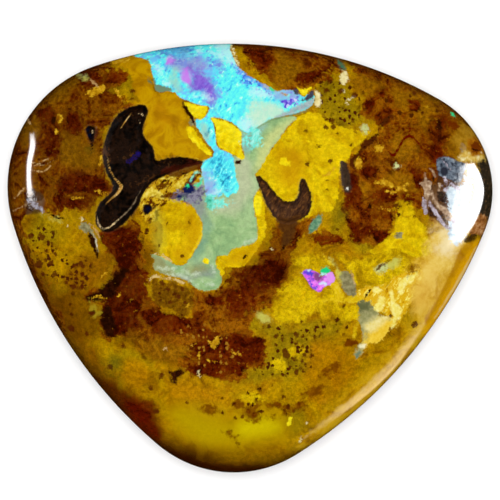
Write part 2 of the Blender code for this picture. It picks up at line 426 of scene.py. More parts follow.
brown = tints(calculate("MULTIPLY_ADD", FINE[2], 0.33, FLOW[1]), (66, 16, 0), (100, 38, 0),
    (122, 62, 0), (146, 88, 4), (108, 50, 0), (82, 30, 0), spread=(0.5, 0.84))
brown_distance = field("ironstone",
    # the upper left, out to the rim and down its edge
    patch(-5.9, 10.9, -6.6, 9.85, -7, 9.55, -6.2, 9.2, -6.1, 8.8, -6.7, 8.2, -6.3, 7.8, -5.8, 8,
        -5.7, 7.7, -6.4, 7.2, -7.1, 6.4, -7.4, 5.2, -7.3, 4.3, -6.9, 3.5, -7.5, 2.9, -7.9, 2.4,
        -8.6, 2.5, -9.2, 2.25, -10.5, 2.35, -11, 2, -11.1, 1.3, -10.6, -0.2, -10.5, -0.8, -10, -1.4,
        -9.8, -2.2, -9.2, -3.2, -9.9, -4.2, -12.5, -1, -13.5, 5, -11, 10),
    # the upper right
    patch(-0.55, 11.3, -0.25, 10.1, 0.1, 9.5, 1.6, 8.5, 2.3, 8.4, 2.9, 8.65, 3.5, 8.75, 4.1, 9.1,
        4.5, 9.6, 5.3, 9.35, 5.6, 8.4, 6.1, 8, 5.5, 7.3, 6.5, 6.5, 5.6, 5.6, 5.1, 4.9, 4.65, 4.6,
        4.6, 2.8, 4.9, 2, 4.8, 1.2, 4.3, 0.95, 3.5, 1.25, 3.3, 0.8, 4.2, 0.65, 5, 0.95, 6.2, 0.55,
        6.8, 1, 7.2, 2.4, 7.9, 3, 8.3, 2.5, 8.9, 1.9, 9.3, 1.4, 10, 1.8, 10.3, 3.5, 10.2, 4.9,
        10.3, 6.3, 11.6, 6.9, 10, 9, 4, 11.2),
    # the middle, from under the winged hollow to the fork and down
    patch(-7.4, 1.1, -6.6, 1.5, -6, 2, -5.6, 1.5, -5.5, 0.6, -5.1, 0.1, -5.3, -0.5, -5, -1.2,
        -4.9, -1.9, -3.6, -2.9, -2.9, -2.9, -3, -2.2, -2.9, -1.6, -2.3, -1.7, -1.2, -1.4,
        -1.2, -0.7, -0.7, -0.35, -0.2, -0.4, 0.25, -0.2, 0.5, 0.3, 0.95, 0.3, 1.3, 1.8, 2, 1.7,
        2.9, 2.1, 2.7, 1.5, 2.2, 1, 2, 0.2, 2.2, -0.5, 1.9, -1.1, 1.5, -1.5, 1.1, -2.5, 0.4, -2.7,
        0, -3.2, 0.3, -3.9, 0.8, -4.4, 0.6, -5.3, -0.2, -5.5, -0.6, -5.95, -2.6, -5.85, -3.3, -5.7,
        -3.5, -5, -3.1, -4.5, -4.7, -4.6, -6.2, -4.1, -7, -4, -7.5, -3.5, -7.4, -2.4, -7.9, -2.1,
        -7.9, -1.6, -7.2, -1.3, -7, -0.6, -6.7, -0.2, -7.1, 0.3))
brown_distance = ragged(brown_distance, 0.34,
    jumble((FLOW[2], 1.0), (MIDDLE[2], 0.6), (FINE[2], 0.35)))
colour = blend(colour, brown, between(brown_distance, -0.1, 0.1))
colour = paint(colour, "olive_brown", tints(FINE[2], (90, 50, 0), (118, 76, 2), (138, 98, 6)),
    patch(-4.95, -1, -4.4, -1.1, -3, -1.5, -3, -2.8, -4.3, -2.4, -4.8, -1.9),
    soft=0.1, wander=0.2, by=BROKEN)
colour = paint(colour, "lower_left", (104, 48, 0),
    patch(-8.2, -6, -6.8, -6.3, -4.9, -7.1, -4.4, -8.7, -3.4, -9.3, -1.2, -10.1, 1.6, -10.4,
        1.6, -11.6, -3, -11.8, -8.2, -8.2), soft=0.3, wander=0.25, by=CLOUDY)

colour = paint(colour, "tip_shade", (122, 84, 0),
    patch(-4, -8.8, -2.6, -9.3, 0.6, -9.6, 2.6, -9.8, 0, -11.5, -4.4, -10.5),
    soft=0.4, wander=0.1, by=CLOUDY, strength=0.75)

amber = tints(FINE[0], (122, 74, 2), (160, 108, 4))
colour = paint(colour, "amber", amber,
    patch(10.1, 6.6, 11.1, 6.6, 11.6, 5.6, 11.4, 4.6, 9.9, 5.3),
    patch(5, 9, 6.6, 8.8, 6.2, 8.2, 5.3, 8.1),
    patch(1.2, 10.3, 2.6, 9.6, 2.5, 8.9, 1.6, 8.6, 1, 9.1, 1.3, 9.7),
    patch(7.2, 8.5, 8.2, 8.4, 9, 7.7, 8.9, 6.6, 8, 7.2, 7.3, 7.6),
    patch(7.2, 5.9, 8, 6, 8.4, 5.4, 8.2, 4.9, 7.4, 4.9, 7.1, 5.2),
    patch(-9.9, 8.3, -8.9, 8.9, -8.3, 8.9, -9.9, 7.6),
    patch(-5.9, -3.9, -3.4, -4.3, -3.6, -5, -4.9, -4.8, -5.9, -4.3),
    patch(-11.6, 6.6, -11, 7, -10.6, 6.2, -11.2, 5.6),
    patch(6.8, 4.2, 8.2, 4.2, 8.2, 3.4, 7.4, 3.2, 6.6, 3.5),
    patch(5.5, 3.8, 6, 3.9, 5.9, 3.2, 5.4, 3),
    patch(-9.6, 6, -8.6, 6.2, -7.6, 5.4, -7.5, 4.6, -8.6, 4.4, -9.4, 4.9),
    patch(8.6, 7.9, 9.2, 7.5, 8.6, 6.3, 8.4, 6.8),
    patch(8.7, 8.5, 9.3, 8.2, 9.4, 7.7, 8.8, 7.8), soft=0.28, wander=0.25, by=CLOUDY)

dark = tints(calculate("MULTIPLY_ADD", FINE[0], 0.4, FLOW[0]), (44, 6, 0), (72, 14, 0), (94, 28, 0),
    (114, 50, 2), (78, 18, 0), spread=(0.52, 0.9))
colour = paint(colour, "dark_ironstone", dark,
    # the upper left
    patch(-9.5, 3.9, -8.3, 4.1, -7.3, 3.9, -7.3, 3.3, -8.2, 3.1, -9.4, 3.2),
    patch(-8.7, 9.2, -8, 9.5, -7.4, 9.2, -7.5, 8.7, -8.2, 8.6),
    patch(-9.7, 3.1, -8.2, 2.9, -8.3, 2.5, -9.6, 2.5),
    patch(-9, 7.1, -8.5, 7.2, -8.4, 6.4, -8.9, 6.2, -9.2, 6.6),
    patch(-6.6, 9.3, -6.2, 9.1, -6.2, 8.8, -7.1, 8.8),
    patch(-9.9, 6.3, -9.4, 6.2, -9.5, 5.2, -10, 4.9, -10.4, 5.4),
    patch(-10.6, 7.3, -10, 7.5, -9.7, 7, -10.2, 6.7),
    # the middle
    patch(-7.2, 1.4, -5.5, 1.3, -5.6, -0.3, -6.3, -0.5, -6.9, 0),
    patch(-6.9, -0.9, -5.7, -0.6, -5, -1.1, -5.5, -2.8, -6.3, -3.1, -7, -2.6, -7.3, -1.9),
    patch(-7.4, -2.5, -6.9, -2.2, -6.5, -2.7, -6.2, -3, -6.2, -3.8, -6.9, -3.9, -7.4, -3.6),
    patch(-6, -3, -5.6, -3, -5.5, -3.3, -5.9, -3.4),
    patch(-5.5, -2.7, -4.6, -2.5, -2.9, -3.2, -3, -3.7, -3.7, -3.8, -4.6, -3.7),
    patch(0.1, -0.3, 1.5, -0.1, 1.9, -0.4, 1.6, -1, 1, -1.5, 0.4, -1.8, 0.3, -2.6, -0.4, -3,
        -1.2, -2.5, -1.3, -1.7, -0.6, -1.5, -0.5, -0.9),
    patch(-2.6, -3.5, -1.6, -3.8, -0.6, -3.7, 0.3, -3.8, 0.8, -4.3, 0.6, -5, -0.1, -5.3, -0.4, -5.7,
        -1.6, -5.9, -3, -5.8, -3.4, -5.4, -2.5, -5.1, -2.9, -4.5, -2.4, -4.1),
    patch(-3.95, -6.15, -3.9, -5.7, -3.5, -5.4, -3.2, -5.6, -3.5, -6.05),
    patch(-2.2, -2, -1.5, -1.9, -1.3, -2.3, -1.9, -2.4),
    # the lower left edge
    patch(-6.2, -7.4, -5.5, -7.2, -5, -7.6, -5, -8.3, -5.9, -8),
    # the upper right
    patch(-0.5, 10.9, 0.3, 9.4, 0.8, 9.2, 0.9, 9.8, 0.5, 10.8),
    patch(1.5, 10.7, 2.1, 9.95, 2.35, 10.1, 2.4, 10.7),
    patch(2.7, 10.6, 2.95, 9.9, 3.1, 9.4, 3.3, 10.5),
    patch(2.4, 9, 3.6, 9.6, 4.2, 9.9, 4, 9.2, 3.2, 8.8),
    patch(5.1, 9.8, 7.2, 9, 7.4, 9.3, 6, 9.9),
    patch(6.6, 8.4, 6.8, 8.2, 6.7, 7.9, 6.4, 8, 6.3, 8.25),
    patch(5.7, 7.7, 6.1, 7.9, 6.2, 7.6, 5.8, 7.4),
    patch(6.8, 8, 7.1, 8, 7, 7.7, 6.7, 7.75),
    patch(7.9, 8, 8.4, 7.9, 8.4, 7.4, 8, 7.4),
    patch(9.4, 7.3, 10.3, 6.7, 9.6, 6.2, 9.7, 5.2, 9.3, 4.8, 9, 5, 9.2, 6, 9.5, 6.7),
    patch(11, 5.7, 11.4, 5.85, 11.6, 5.5, 11.4, 5.25, 11.1, 5.35),
    patch(4.6, 3.4, 5.1, 4.2, 5.5, 2.8, 5, 2.6, 5, 1.9, 5.4, 1.5, 6.2, 1.5, 6.3, 1.1, 5.3, 1.1,
        5, 0.9, 3.6, 0.6, 3.5, 1.2, 4.7, 1.1, 4.85, 1.8),
    patch(5.9, 3.2, 7.2, 3.4, 7.2, 2.9, 6.6, 2.7, 6, 2.8),
    patch(7.6, 3.2, 8.3, 3.2, 8.2, 2.9, 7.8, 2.8),
    patch(5.6, 4.6, 6.2, 4.6, 6.4, 4.2, 5.9, 3.9, 5.5, 4.1),
    patch(7.9, 4.4, 8.6, 4.3, 8.5, 3.6, 8.1, 3.6),
    patch(6.1, 1.3, 6.8, 1.4, 6.8, 0.9, 6.4, 0.6, 6.1, 0.9), soft=0.12, wander=0.2, by=BROKEN)
colour = paint(colour, "black_ironstone", tints(FINE[1], (30, 8, 0), (56, 20, 4)),
    patch(-8.15, -2.1, -7.6, -1.65, -6.7, -0.8, -6.15, -0.6, -6.3, -1.05, -6.9, -1.95),
    patch(-7.35, -2.7, -7, -2.4, -6.7, -3.7, -7.1, -3.9, -7.4, -3.4),
    patch(-3.95, -6.15, -3.9, -5.75, -3.55, -5.4, -3.3, -5.55, -3.6, -6.15),
    streak(9.4, 6.9, 0.04, 9.45, 6.2, 0.07, 9.3, 5.6, 0.04), soft=0.1, wander=0.12, by=BROKEN)

# The lower left and the tip turn darker, almost black-brown, towards the rim.
colour = paint(colour, "darker_tip_edge", (56, 16, 0),
    patch(-5.6, -8.6, -4.4, -9.2, -1.2, -10.15, 1.4, -10.45, 1.4, -11.8, -3, -12, -6, -9.8),
    soft=0.4, wander=0.1, by=CLOUDY)

# Painted shade darkens the rim all round, where the dome turns away from the light.
shaded_rim_distance = field("painted_rim_shade", np.hypot(X, Y) - reach_of_the_rim(np.arctan2(Y, X)))
colour = blend(colour, linear(52, 22, 0), between(shaded_rim_distance, -0.5, 0.0, 0.55))
colour = paint(colour, "deep_red", (92, 16, 0),
    patch(-6.3, -7.1, -5.6, -7.2, -4.4, -8.5, -4.8, -9, -5.8, -8.2),
    soft=0.4, wander=0.15, by=CLOUDY, strength=0.8)

# Gold flecks and wisps lie in the ironstone, and brown wisps in the limonite.
inside = between(brown_distance, -0.15, 0.15, 0.7)
flecks = calculate("MAXIMUM", between(FINE[0], 0.64, 0.68), between(FLOW[0], 0.63, 0.69))
colour = blend(colour, linear(152, 100, 4), calculate("MULTIPLY", inside, flecks))
colour = blend(colour, linear(84, 34, 0), between(FLOW[1], 0.63, 0.7, 0.6))


def shade(base, factor):
    """The same colour, lighter or darker by a factor."""
    return add("HueSaturation", 0.5, 1.0, factor, 1.0, base).outputs[0]


def mottle(base, *layers):
    """Lighter and darker clouds: each layer is (noise, darkest, lightest)."""
    for noise, darkest, lightest in layers:
        base = shade(base, slide(darkest, lightest, noise, 0.3, 0.7))
    return base


# Fine grain everywhere but in the clear honey of the lower tip.
grained = mottle(colour, (FINE[1], 0.74, 1.22), (FLOW[2], 0.84, 1.12), (DUST[2], 0.8, 1.18))
colour = blend(grained, colour, between(painted_glow_distance, -1.15, -0.1, 0.8))

# The ironstone side is stained darker throughout.
stained = field("stained",
    patch(-12.5, 9, -8.5, 9.6, -6.6, 8.4, -6.2, 5, -5.8, 1, -5.3, -1, -5.3, -3.8, -6.6, -4.3,
        -7.8, -3.7, -7.6, -1.9, -6.9, -0.6, -8, 2, -9.6, 2.4, -11.4, 2, -13, 4),
    patch(-13, 0.6, -10.9, 0.2, -10.2, -1, -7.9, -5, -6.2, -6.6, -7, -9, -12, -6),
    patch(-0.6, 0, 1.6, 1.6, 2.6, 1.2, 2.2, 0, 2, -0.8, 0.8, -1.6, -0.8, -1.4))
colour = shade(colour, slide(1.0, 0.7, stained, -0.7, 0.7))

# Clear honey along the right and lower right edge, with a painted glow that turns almost cream
# where it is thinnest.
colour = paint(colour, "edge_glow", tints(FLOW[0], (196, 140, 6), (224, 174, 18), (232, 188, 34)),
    patch(9, 1.1, 10.3, 0.9, 11.2, 0.2, 10.2, -2.2, 6.6, -6.9, 2.6, -9.2, 7.1, -4.7, 8.1, -3.2,
        8, -1.6, 8.2, -0.2), soft=0.6, wander=0.3, by=CLOUDY, strength=0.8)


def crystals(per_mm, dimensions="3D"):
    """Cells of this fineness, each with a distance from its middle and a colour of its own."""
    cells = add("TexVoronoi", MILLIMETRES, feature="F1", voronoi_dimensions=dimensions)
    cells.inputs["Scale"].default_value = per_mm
    return cells


def pepper(base, name, per_mm, largest, *shapes, tint=(72, 30, 4)):
    """Scatters grains of up to this radius, in mm, over an area."""
    cells = crystals(per_mm, "2D")
    chance = add("SeparateColor", cells.outputs["Color"]).outputs[0]
    size = slide(0.0, largest * per_mm, chance, 0.3, 1.0)
    grains = ragged(calculate("SUBTRACT", size, cells.outputs["Distance"]), 0.06 * per_mm, CRISP)
    grains = between(grains, 0.0, 0.08)
    area = between(ragged(field(name, *shapes), 0.2, CLOUDY), -0.3, 0.1)
    return blend(base, linear(*tint), calculate("MULTIPLY", grains, area))


colour = pepper(colour, "fine_pepper", 4.2, 0.115,
    patch(0.9, -3.4, 2.4, -3.5, 3.6, -3.4, 3, -4.2, 3.1, -5.2, 2.6, -5.8, 0.4, -5.6, 1, -4.5),
    patch(-10.9, 1.3, -9.9, 1.4, -9.6, 0.3, -8.2, -0.1, -7.9, -0.9, -8.4, -1.7, -9.3, -1.5,
        -9.8, -1.1, -10.7, -0.6),
    patch(3.4, 8.9, 5.4, 8.4, 5.2, 6.5, 3.8, 6.4, 3.4, 7.2))
colour = pepper(colour, "sparse_pepper", 1.6, 0.14,
    patch(-9.6, 4.4, -7.6, 4.5, -7.6, 3.9, -9.4, 3.6),
    patch(-9.4, 2.5, -7.9, 2.3, -8.2, 1.7, -9.2, 1.7),
    patch(-5.4, 1.9, -4.6, 1.9, -4.6, 0.2, -5.4, 0.3),
    patch(-4.8, -1.4, -3.1, -1.5, -3.1, -2.6, -4.3, -2.3),
    patch(5.9, 9, 8.9, 8, 8.8, 6.8, 5.9, 7.2),
    patch(7, 2.6, 8.6, 2.4, 8.9, 1.2, 7.1, 1.4),
    patch(-9.5, -2, -8, -2.2, -7.9, -4.6, -9.3, -3.8),
    patch(-1.2, -6.8, 1.7, -6.4, 2.6, -7.4, 1, -8.1, -1.2, -8),
    patch(3.3, -2.8, 5.2, -2.9, 5.2, -4, 3.4, -4), tint=(76, 34, 2))
colour = pepper(colour, "gold_pepper", 3.6, 0.085,
    patch(-3.6, -3.5, -2.4, -3.5, -0.8, -4.2, -0.6, -5.2, -2.2, -5.8, -3.2, -5.4, -3, -4.6),
    tint=(156, 108, 24))


# ------------------------------------------------------------------------------
# The pure yellow limonite
# Where the iron oxide is purest it is a vivid yellow with crisp edges, around the potch and between
# the hollows. Beside the fire it has broken into flakes, dark between them.
# ------------------------------------------------------------------------------
vivid = tints(FLOW[0], (188, 144, 0), (210, 172, 0), (230, 198, 4), (202, 160, 0),
    spread=(0.33, 0.67))
vivid = mottle(vivid, (FINE[1], 0.78, 1.14), (DUST[2], 0.88, 1.1))

# The yellow and the potch share these two edges.
POTCH_LEFT = (-3.8, 2.95, -3.3, 2.85, -3, 2.72, -2.8, 2.5, -2.5, 2.05, -2.35, 1.6, -2.4, 1,
    -2.65, 0.5, -2.95, 0, -3.25, -0.3, -3.6, -0.38, -3.9, -0.2, -4.2, -0.05, -4.5, 0.12)
POTCH_RIGHT = (0.3, 3.25, 0.15, 2.8, 0.25, 2.2, 0.38, 1.4, 0.32, 0.9, 0, 0.65, -0.35, 0.62,
    -0.6, 0.5, -0.9, 0.45, -1.15, 0.15, -1.65, 0.1, -1.7, -0.3, -1.5, -0.7)
POTCH_LEFT_UPWARDS = np.reshape(POTCH_LEFT, (-1, 2))[::-1].ravel()
colour = paint(colour, "old_gold",
    tints(FLOW[2], (158, 108, 0), (178, 128, 0), (198, 152, 0), (170, 120, 0), spread=(0.36, 0.66)),
    patch(-6.9, 9.9, -6, 10.3, -5.3, 10, -4.9, 9.2, -4.7, 8.3, -3.9, 8.25, -3.4, 7.9, -3.1, 6.6,
        -2, 5.5, -1.9, 5, -2.3, 4.8, -3.4, 5.1, -4.4, 5.05, -5, 5.9, -5.3, 6.3, -5.1, 7.2,
        -5.4, 7.8, -5.9, 8.3, -5.9, 9, -6.2, 9.5), soft=0.08, wander=0.16, by=BROKEN)
colour = paint(colour, "vivid", vivid,
    patch(0.45, 4.5, 1.4, 5.9, 2.4, 7, 3.1, 7.2, 3.6, 7, 4.8, 6.35, 6, 6.25, 5.6, 5.95, 4.8, 4.9,
        4.5, 4.5, 4.5, 3.9, 4.25, 2.7, 4, 2.3, 3.5, 2.3, 3, 2, 1.5, 2.2, 0.8, 3.2, 0.3, 4),
    patch(7.3, 1.9, 8.3, 1.95, 8.7, 1.5, 8.9, 0.9, 9, 0.3, 8.4, 0, 7.9, 0.2, 7.1, 0.4, 6.4, 0.2,
        5.9, 0.3, 6.5, 0.8, 7.1, 1.2),
    patch(*POTCH_LEFT, -4.35, 0.8, -4.4, 1.5, -4.6, 2, -4.6, 2.4, -4.3, 2.8),
    patch(*POTCH_RIGHT, -1.35, -0.9, -1.25, -0.55, -0.8, -0.42, -0.4, -0.35, -0.1, -0.1, 0.15, 0.15,
        0.4, 0.45, 0.6, 0.9, 0.75, 1.3, 0.82, 1.62, 0.75, 2.1, 0.65, 2.7, 0.55, 3.2),
    soft=0.05, wander=0.1, by=BROKEN)

# Flakes and fire run in fine strokes, up and to the right. A stroke has a length, a width and a
# depth.
STROKE_SIZE = (0.42, 0.17, 0.3)
across = add("Mapping", MILLIMETRES, vector_type="TEXTURE")
across.inputs["Rotation"].default_value = (0, 0, math.radians(58))
across.inputs["Scale"].default_value = STROKE_SIZE
STROKES = grain(1.0, detail=4.0, roughness=0.65, distortion=0.6, over=across.outputs[0])


def dots(*spots):
    """Round specks, each given as x, y and its radius."""
    distance = np.full(X.shape, -REACH)
    for x, y, size in np.reshape(spots, (-1, 3)):
        distance = np.maximum(distance, size - np.hypot(X - x, Y - y))
    return distance


colour = paint(colour, "flaky_yellow",
    tints(calculate("MULTIPLY_ADD", FINE[0], 0.6, STROKES[1]), (78, 34, 0), (140, 92, 6),
        (196, 154, 16), (214, 178, 30), (190, 146, 16), (236, 214, 84), spread=(0.68, 1.02)),
    patch(-5.5, 2.7, -5.3, 3.4, -4.8, 3.75, -3.6, 4.4, -2.9, 4.75, -2.4, 4.7, -2.4, 3.9, -3.1, 3.7,
        -3.5, 3.2, -3.9, 3.05, -4.1, 2.7, -4.5, 2.4, -5, 1.5), soft=0.08, wander=0.2, by=BROKEN)
colour = paint(colour, "pale_flakes",
    tints(FINE[0], (196, 160, 30), (226, 200, 60), (240, 226, 116)),
    streak(-5.35, 3.1, 0.08, -4.6, 3.2, 0.1, -4.3, 2.9, 0.08),
    streak(-4.3, 3.9, 0.04, -3.4, 4.35, 0.08, -2.9, 4.45, 0.06),
    streak(-4.1, 3.45, 0.04, -3.7, 3.55, 0.09, -3.4, 3.75, 0.05),
    streak(-4.85, 2.2, 0.04, -4.75, 1.9, 0.07, -4.9, 1.65, 0.04),
    dots(-3.85, 3.85, 0.12, -3.1, 4.1, 0.1), soft=0.06, wander=0.22, by=BROKEN, strength=0.8)
colour = paint(colour, "flake_holes", (84, 32, 0),
    streak(-4.5, 3.55, 0.05, -4.25, 3.6, 0.1, -3.95, 3.68, 0.05),
    streak(-4.3, 3.05, 0.02, -3.8, 3.1, 0.06, -3.6, 3.15, 0.02),
    streak(-4.65, 2.35, 0.01, -4.6, 2, 0.035, -4.8, 1.6, 0.03),
    streak(-3.1, 3.85, 0.02, -2.75, 4.2, 0.03),
    patch(-4.3, 4.1, -3.9, 4.5, -3.2, 4.7, -2.4, 4.7, -2.5, 4.3, -3, 4.25, -3.6, 4.1),
    streak(-3.6, 4.05, 0.02, -3.3, 4.2, 0.05, -3, 4.3, 0.02),
    streak(-5.2, 2.85, 0.02, -4.9, 2.75, 0.05, -4.7, 2.55, 0.03),
    streak(-3.4, 3.35, 0.04, -3.1, 3.6, 0.06, -2.8, 3.95, 0.06, -2.5, 4.1, 0.03),
    soft=0.06, wander=0.14, by=BROKEN, strength=0.9)
colour = paint(colour, "burnt_yellow", (190, 132, 0),
    patch(-3.2, 2.75, -2.5, 1.9, -2.42, 1.2, -3, 0.3),
    patch(-3.9, 0.3, -3.3, 0.4, -3.1, 0, -3.6, -0.3),
    patch(1.4, 5.2, 2.6, 5.4, 2.7, 4.4, 2.2, 3.6, 1.5, 4),
    patch(-1.2, 0, 0.4, 0.7, 0.3, 0.2, -0.3, -0.25),
    patch(-4.6, 7.6, -4.1, 7.4, -3.9, 6.8, -4.4, 6.6),
    soft=0.4, wander=0.25, by=CLOUDY, strength=0.6)
colour = paint(colour, "olive_yellow", (176, 168, 44),
    patch(-4.7, 2.5, -4.25, 1.6, -4.4, 0.2, -4.7, 0.4),
    soft=0.35, wander=0.15, by=CLOUDY, strength=0.6)
colour = paint(colour, "patch_edge", (240, 204, 30),
    streak(-2.62, 2.25, 0.01, -2.42, 1.75, 0.05, -2.42, 1.1, 0.06, -3, 0.05, 0.02),
    soft=0.06, wander=0.05)


# ------------------------------------------------------------------------------
# The potch
# Common opal without fire, a pale cloudy green, that fills the widest seam. It is cleanly bounded,
# milky and streaked, and turns teal and grey towards its edges.
# ------------------------------------------------------------------------------
potch = tints(FLOW[2], (134, 172, 116), (152, 188, 126), (168, 198, 138), (146, 180, 126),
    spread=(0.36, 0.66))
potch = paint(potch, "potch_beige", (188, 196, 156),
    patch(-0.7, 4.9, 0.1, 4.7, 0.1, 3.1, -0.5, 2.4, -1.4, 2.2, -1.9, 2.5, -0.9, 3.1),
    soft=0.4, wander=0.15, by=CLOUDY, strength=0.9)
potch = paint(potch, "potch_teal", (116, 156, 134),
    streak(-2.75, 2.4, 0.12, -2.25, 1.9, 0.14, -2.15, 1.2, 0.18, -2.7, 0, 0.22, -2.4, -0.6, 0.3,
        -1.9, -0.9, 0.2),
    streak(-4.8, 0.05, 0.1, -3.7, -0.5, 0.12, -3.2, -0.5, 0.1),
    soft=0.28, wander=0.2, by=CLOUDY, strength=0.6)
potch = paint(potch, "potch_mud", (150, 146, 92),
    patch(-5, 0.2, -4.4, 0, -2.9, -1.4, -4, -1.3, -5, -0.8),
    patch(-3.2, -0.5, -2.7, -0.2, -2.2, -0.4, -2.2, -0.7, -2.9, -0.95),
    soft=0.25, wander=0.2, by=CLOUDY, strength=0.8)
potch = paint(potch, "potch_haze", (142, 152, 138),
    patch(-3.1, 3.1, -2.5, 3.4, -2.2, 2.3, -2.6, 2.2),
    streak(-3.5, -0.85, 0.14, -3, -0.95, 0.2, -1.9, -0.8, 0.12),
    soft=0.25, wander=0.2, by=CLOUDY, strength=0.95)
potch = paint(potch, "potch_white", (208, 224, 194),
    streak(-4.6, -0.45, 0.02, -4.2, -0.55, 0.07, -3.7, -0.5, 0.03),
    streak(-4.2, -0.85, 0.03, -3.4, -0.85, 0.06, -2.6, -1.35, 0.04),
    streak(-2.4, -1.15, 0.03, -2.1, -1.3, 0.05, -1.8, -1.3, 0.04),
    streak(-1.9, -0.3, 0.02, -1.75, -0.7, 0.05),
    streak(-0.3, 0.75, 0.03, 0.3, 0.95, 0.05),
    streak(-3.3, -0.6, 0.03, -2.9, -0.8, 0.05, -2.5, -0.75, 0.03),
    soft=0.1, wander=0.1, strength=0.65)
potch = paint(potch, "potch_lime", (204, 212, 134),
    patch(0.2, 4.5, 0.9, 6.2, 2.2, 6.95, 1.3, 5.7, 0.8, 4.8, 0.5, 4.3),
    soft=0.28, wander=0.12, by=CLOUDY, strength=0.9)
potch = paint(potch, "potch_sea", (138, 184, 168),
    patch(-0.4, 6.2, 0.8, 6.75, 0.9, 6.5, 0.5, 6.1, -0.2, 5.2),
    soft=0.22, wander=0.15, by=CLOUDY, strength=0.9)
potch = mottle(potch, (FINE[1], 0.88, 1.07), (DUST[2], 0.94, 1.05))
colour = paint(colour, "potch", potch,
    patch(-0.3, 6.9, 0.6, 6.9, 1.2, 6.95, 2, 7.05, 2.35, 7, 1.9, 6.55, 1.5, 6, 1, 5.35, 0.7, 4.8,
        0.45, 4.4, 0.25, 4.1, 0.5, 3.6, *POTCH_RIGHT, -1.4, -1.1, -1.6, -1.5, -2.2, -1.62,
        -2.7, -1.48, -3, -1.2, -3.5, -0.98, -4.1, -0.85, -4.5, -0.7, -4.8, -0.5, -4.75, -0.1,
        -4.95, 0.18, *POTCH_LEFT_UPWARDS, -3.3, 3.2, -2.9, 3.4, -2.5, 3.7, -2.4, 4.1, -2.38, 4.5,
        -2.3, 4.85, -1.8, 5, -1.2, 5.2, -0.7, 5.05, -0.25, 4.95, -0.4, 5.5, -0.45, 6.1, -0.6, 6.5),
    soft=0.035, wander=0.05)
colour = paint(colour, "potch_seam", (214, 184, 118),
    streak(-5.05, -1.2, 0.01, -4.75, -0.9, 0.05, -4.4, -0.95, 0.04, -3.8, -1.05, 0.04,
        -3.2, -1.25, 0.02),
    streak(-4.75, 0.24, 0.01, -4.3, 0.1, 0.04, -3.9, -0.18, 0.02), soft=0.04, wander=0.08)


# ------------------------------------------------------------------------------
# The precious opal
# The seam with fire: it comes in at the upper edge, turquoise with blue, violet and a little
# magenta, narrows past two islands of yellow limonite and ends in a turquoise pool on the potch.
# A few crystals of it lie apart from the seam.
# ------------------------------------------------------------------------------
def shards(per_mm):
    """Three random values that are constant over each small crystal, and jump at its edge."""
    return tuple(add("SeparateColor", crystals(per_mm).outputs["Color"]).outputs)


LARGE_FIRE = shards(2.4)
SMALL_FIRE = shards(7.0)
SHARDS = jumble((SMALL_FIRE[1], 0.5), (LARGE_FIRE[1], 0.3), (FINE[1], 0.5))

fire = calculate("MULTIPLY_ADD", FINE[1], 0.3,
    calculate("MULTIPLY_ADD", SMALL_FIRE[0], 0.1, STROKES[0]))
opal = tints(fire, (44, 146, 222), (74, 212, 244), (88, 240, 246), (98, 250, 240), (124, 255, 240),
    (220, 252, 250), spread=(0.48, 0.92))
opal = paint(opal, "opal_sky", (112, 190, 250),
    patch(-2.3, 9.9, -1.5, 9.3, -2.1, 7.2, -2.3, 7.8, -2.1, 8.6, -2.4, 9.3),
    patch(-5.2, 10.4, -4.1, 9.8, -4.5, 9.6, -5, 9.9),
    streak(-1.7, 5.3, 0.2, -1.1, 5, 0.2),
    dots(-3.3, 8.15, 0.2), soft=0.25, wander=0.35, by=SHARDS, strength=0.85)
opal = paint(opal, "opal_blue_strip",
    tints(calculate("MULTIPLY_ADD", SMALL_FIRE[2], 0.4, STROKES[0]), (50, 74, 190), (84, 138, 238),
        (96, 170, 246), (176, 224, 246), spread=(0.4, 1.0)),
    streak(-0.9, 9.7, 0.05, -0.6, 9.3, 0.2, -0.1, 8.95, 0.28, 0.9, 8.45, 0.2, 1.2, 8.25, 0.1),
    streak(-1.8, 4.3, 0.03, -1.5, 4.6, 0.06, -1.2, 4.3, 0.04),
    streak(0.2, 8.95, 0.1, 0.7, 8.7, 0.14, 1.1, 8.4, 0.1),
    soft=0.1, wander=0.16, by=SHARDS, strength=0.95)
opal = paint(opal, "opal_lilac", (158, 142, 220),
    patch(-4, 9.8, -2.4, 9.9, -2.1, 9.3, -3.4, 9.1),
    patch(-2.4, 4.2, -2, 4.2, -1.5, 3.1, -1.9, 2.9, -2.3, 3.2),
    streak(1.4, 8.1, 0.1, 1.9, 8.1, 0.18, 2.4, 7.95, 0.15),
    dots(-1.5, 9.6, 0.15, -1.8, 7.7, 0.15), soft=0.35, wander=0.3, by=CLOUDY, strength=0.75)
opal = paint(opal, "opal_moss", (160, 208, 192),
    patch(-4, 9.3, -3.6, 9.4, -3.4, 8.5, -3.9, 8.5),
    patch(-2.55, 6.6, -2.2, 6.7, -1.95, 6.2, -2.1, 5.8, -2.4, 6),
    soft=0.2, wander=0.2, by=CLOUDY, strength=0.85)
opal = paint(opal, "opal_violet", tints(STROKES[1], (112, 72, 196), (150, 116, 226)),
    patch(-3, 9.45, -2.05, 9.1, -1.75, 8, -1.95, 7.75, -2.2, 8.15, -2.9, 8.4),
    soft=0.26, wander=0.2, by=CLOUDY)
opal = paint(opal, "opal_deep",
    tints(SMALL_FIRE[0], (64, 74, 196), (88, 116, 226), (110, 156, 246), (76, 84, 200),
        spread=(0, 1)),
    patch(-4.7, 10.9, -4, 9.85, -3, 9.9, -2.9, 11),
    streak(-2.2, 8.2, 0.03, -1.95, 7.85, 0.1, -1.8, 7.4, 0.05),
    dots(-1.9, 9.75, 0.12, -1.5, 9.5, 0.08), soft=0.25, wander=0.2, by=SHARDS, strength=0.55)
opal = paint(opal, "opal_dusk", (116, 104, 184),
    patch(-3.7, 9.9, -3.2, 10.3, -2.3, 9.7, -2.6, 9.4, -3.3, 9.5),
    soft=0.35, wander=0.2, by=CLOUDY, strength=0.25)
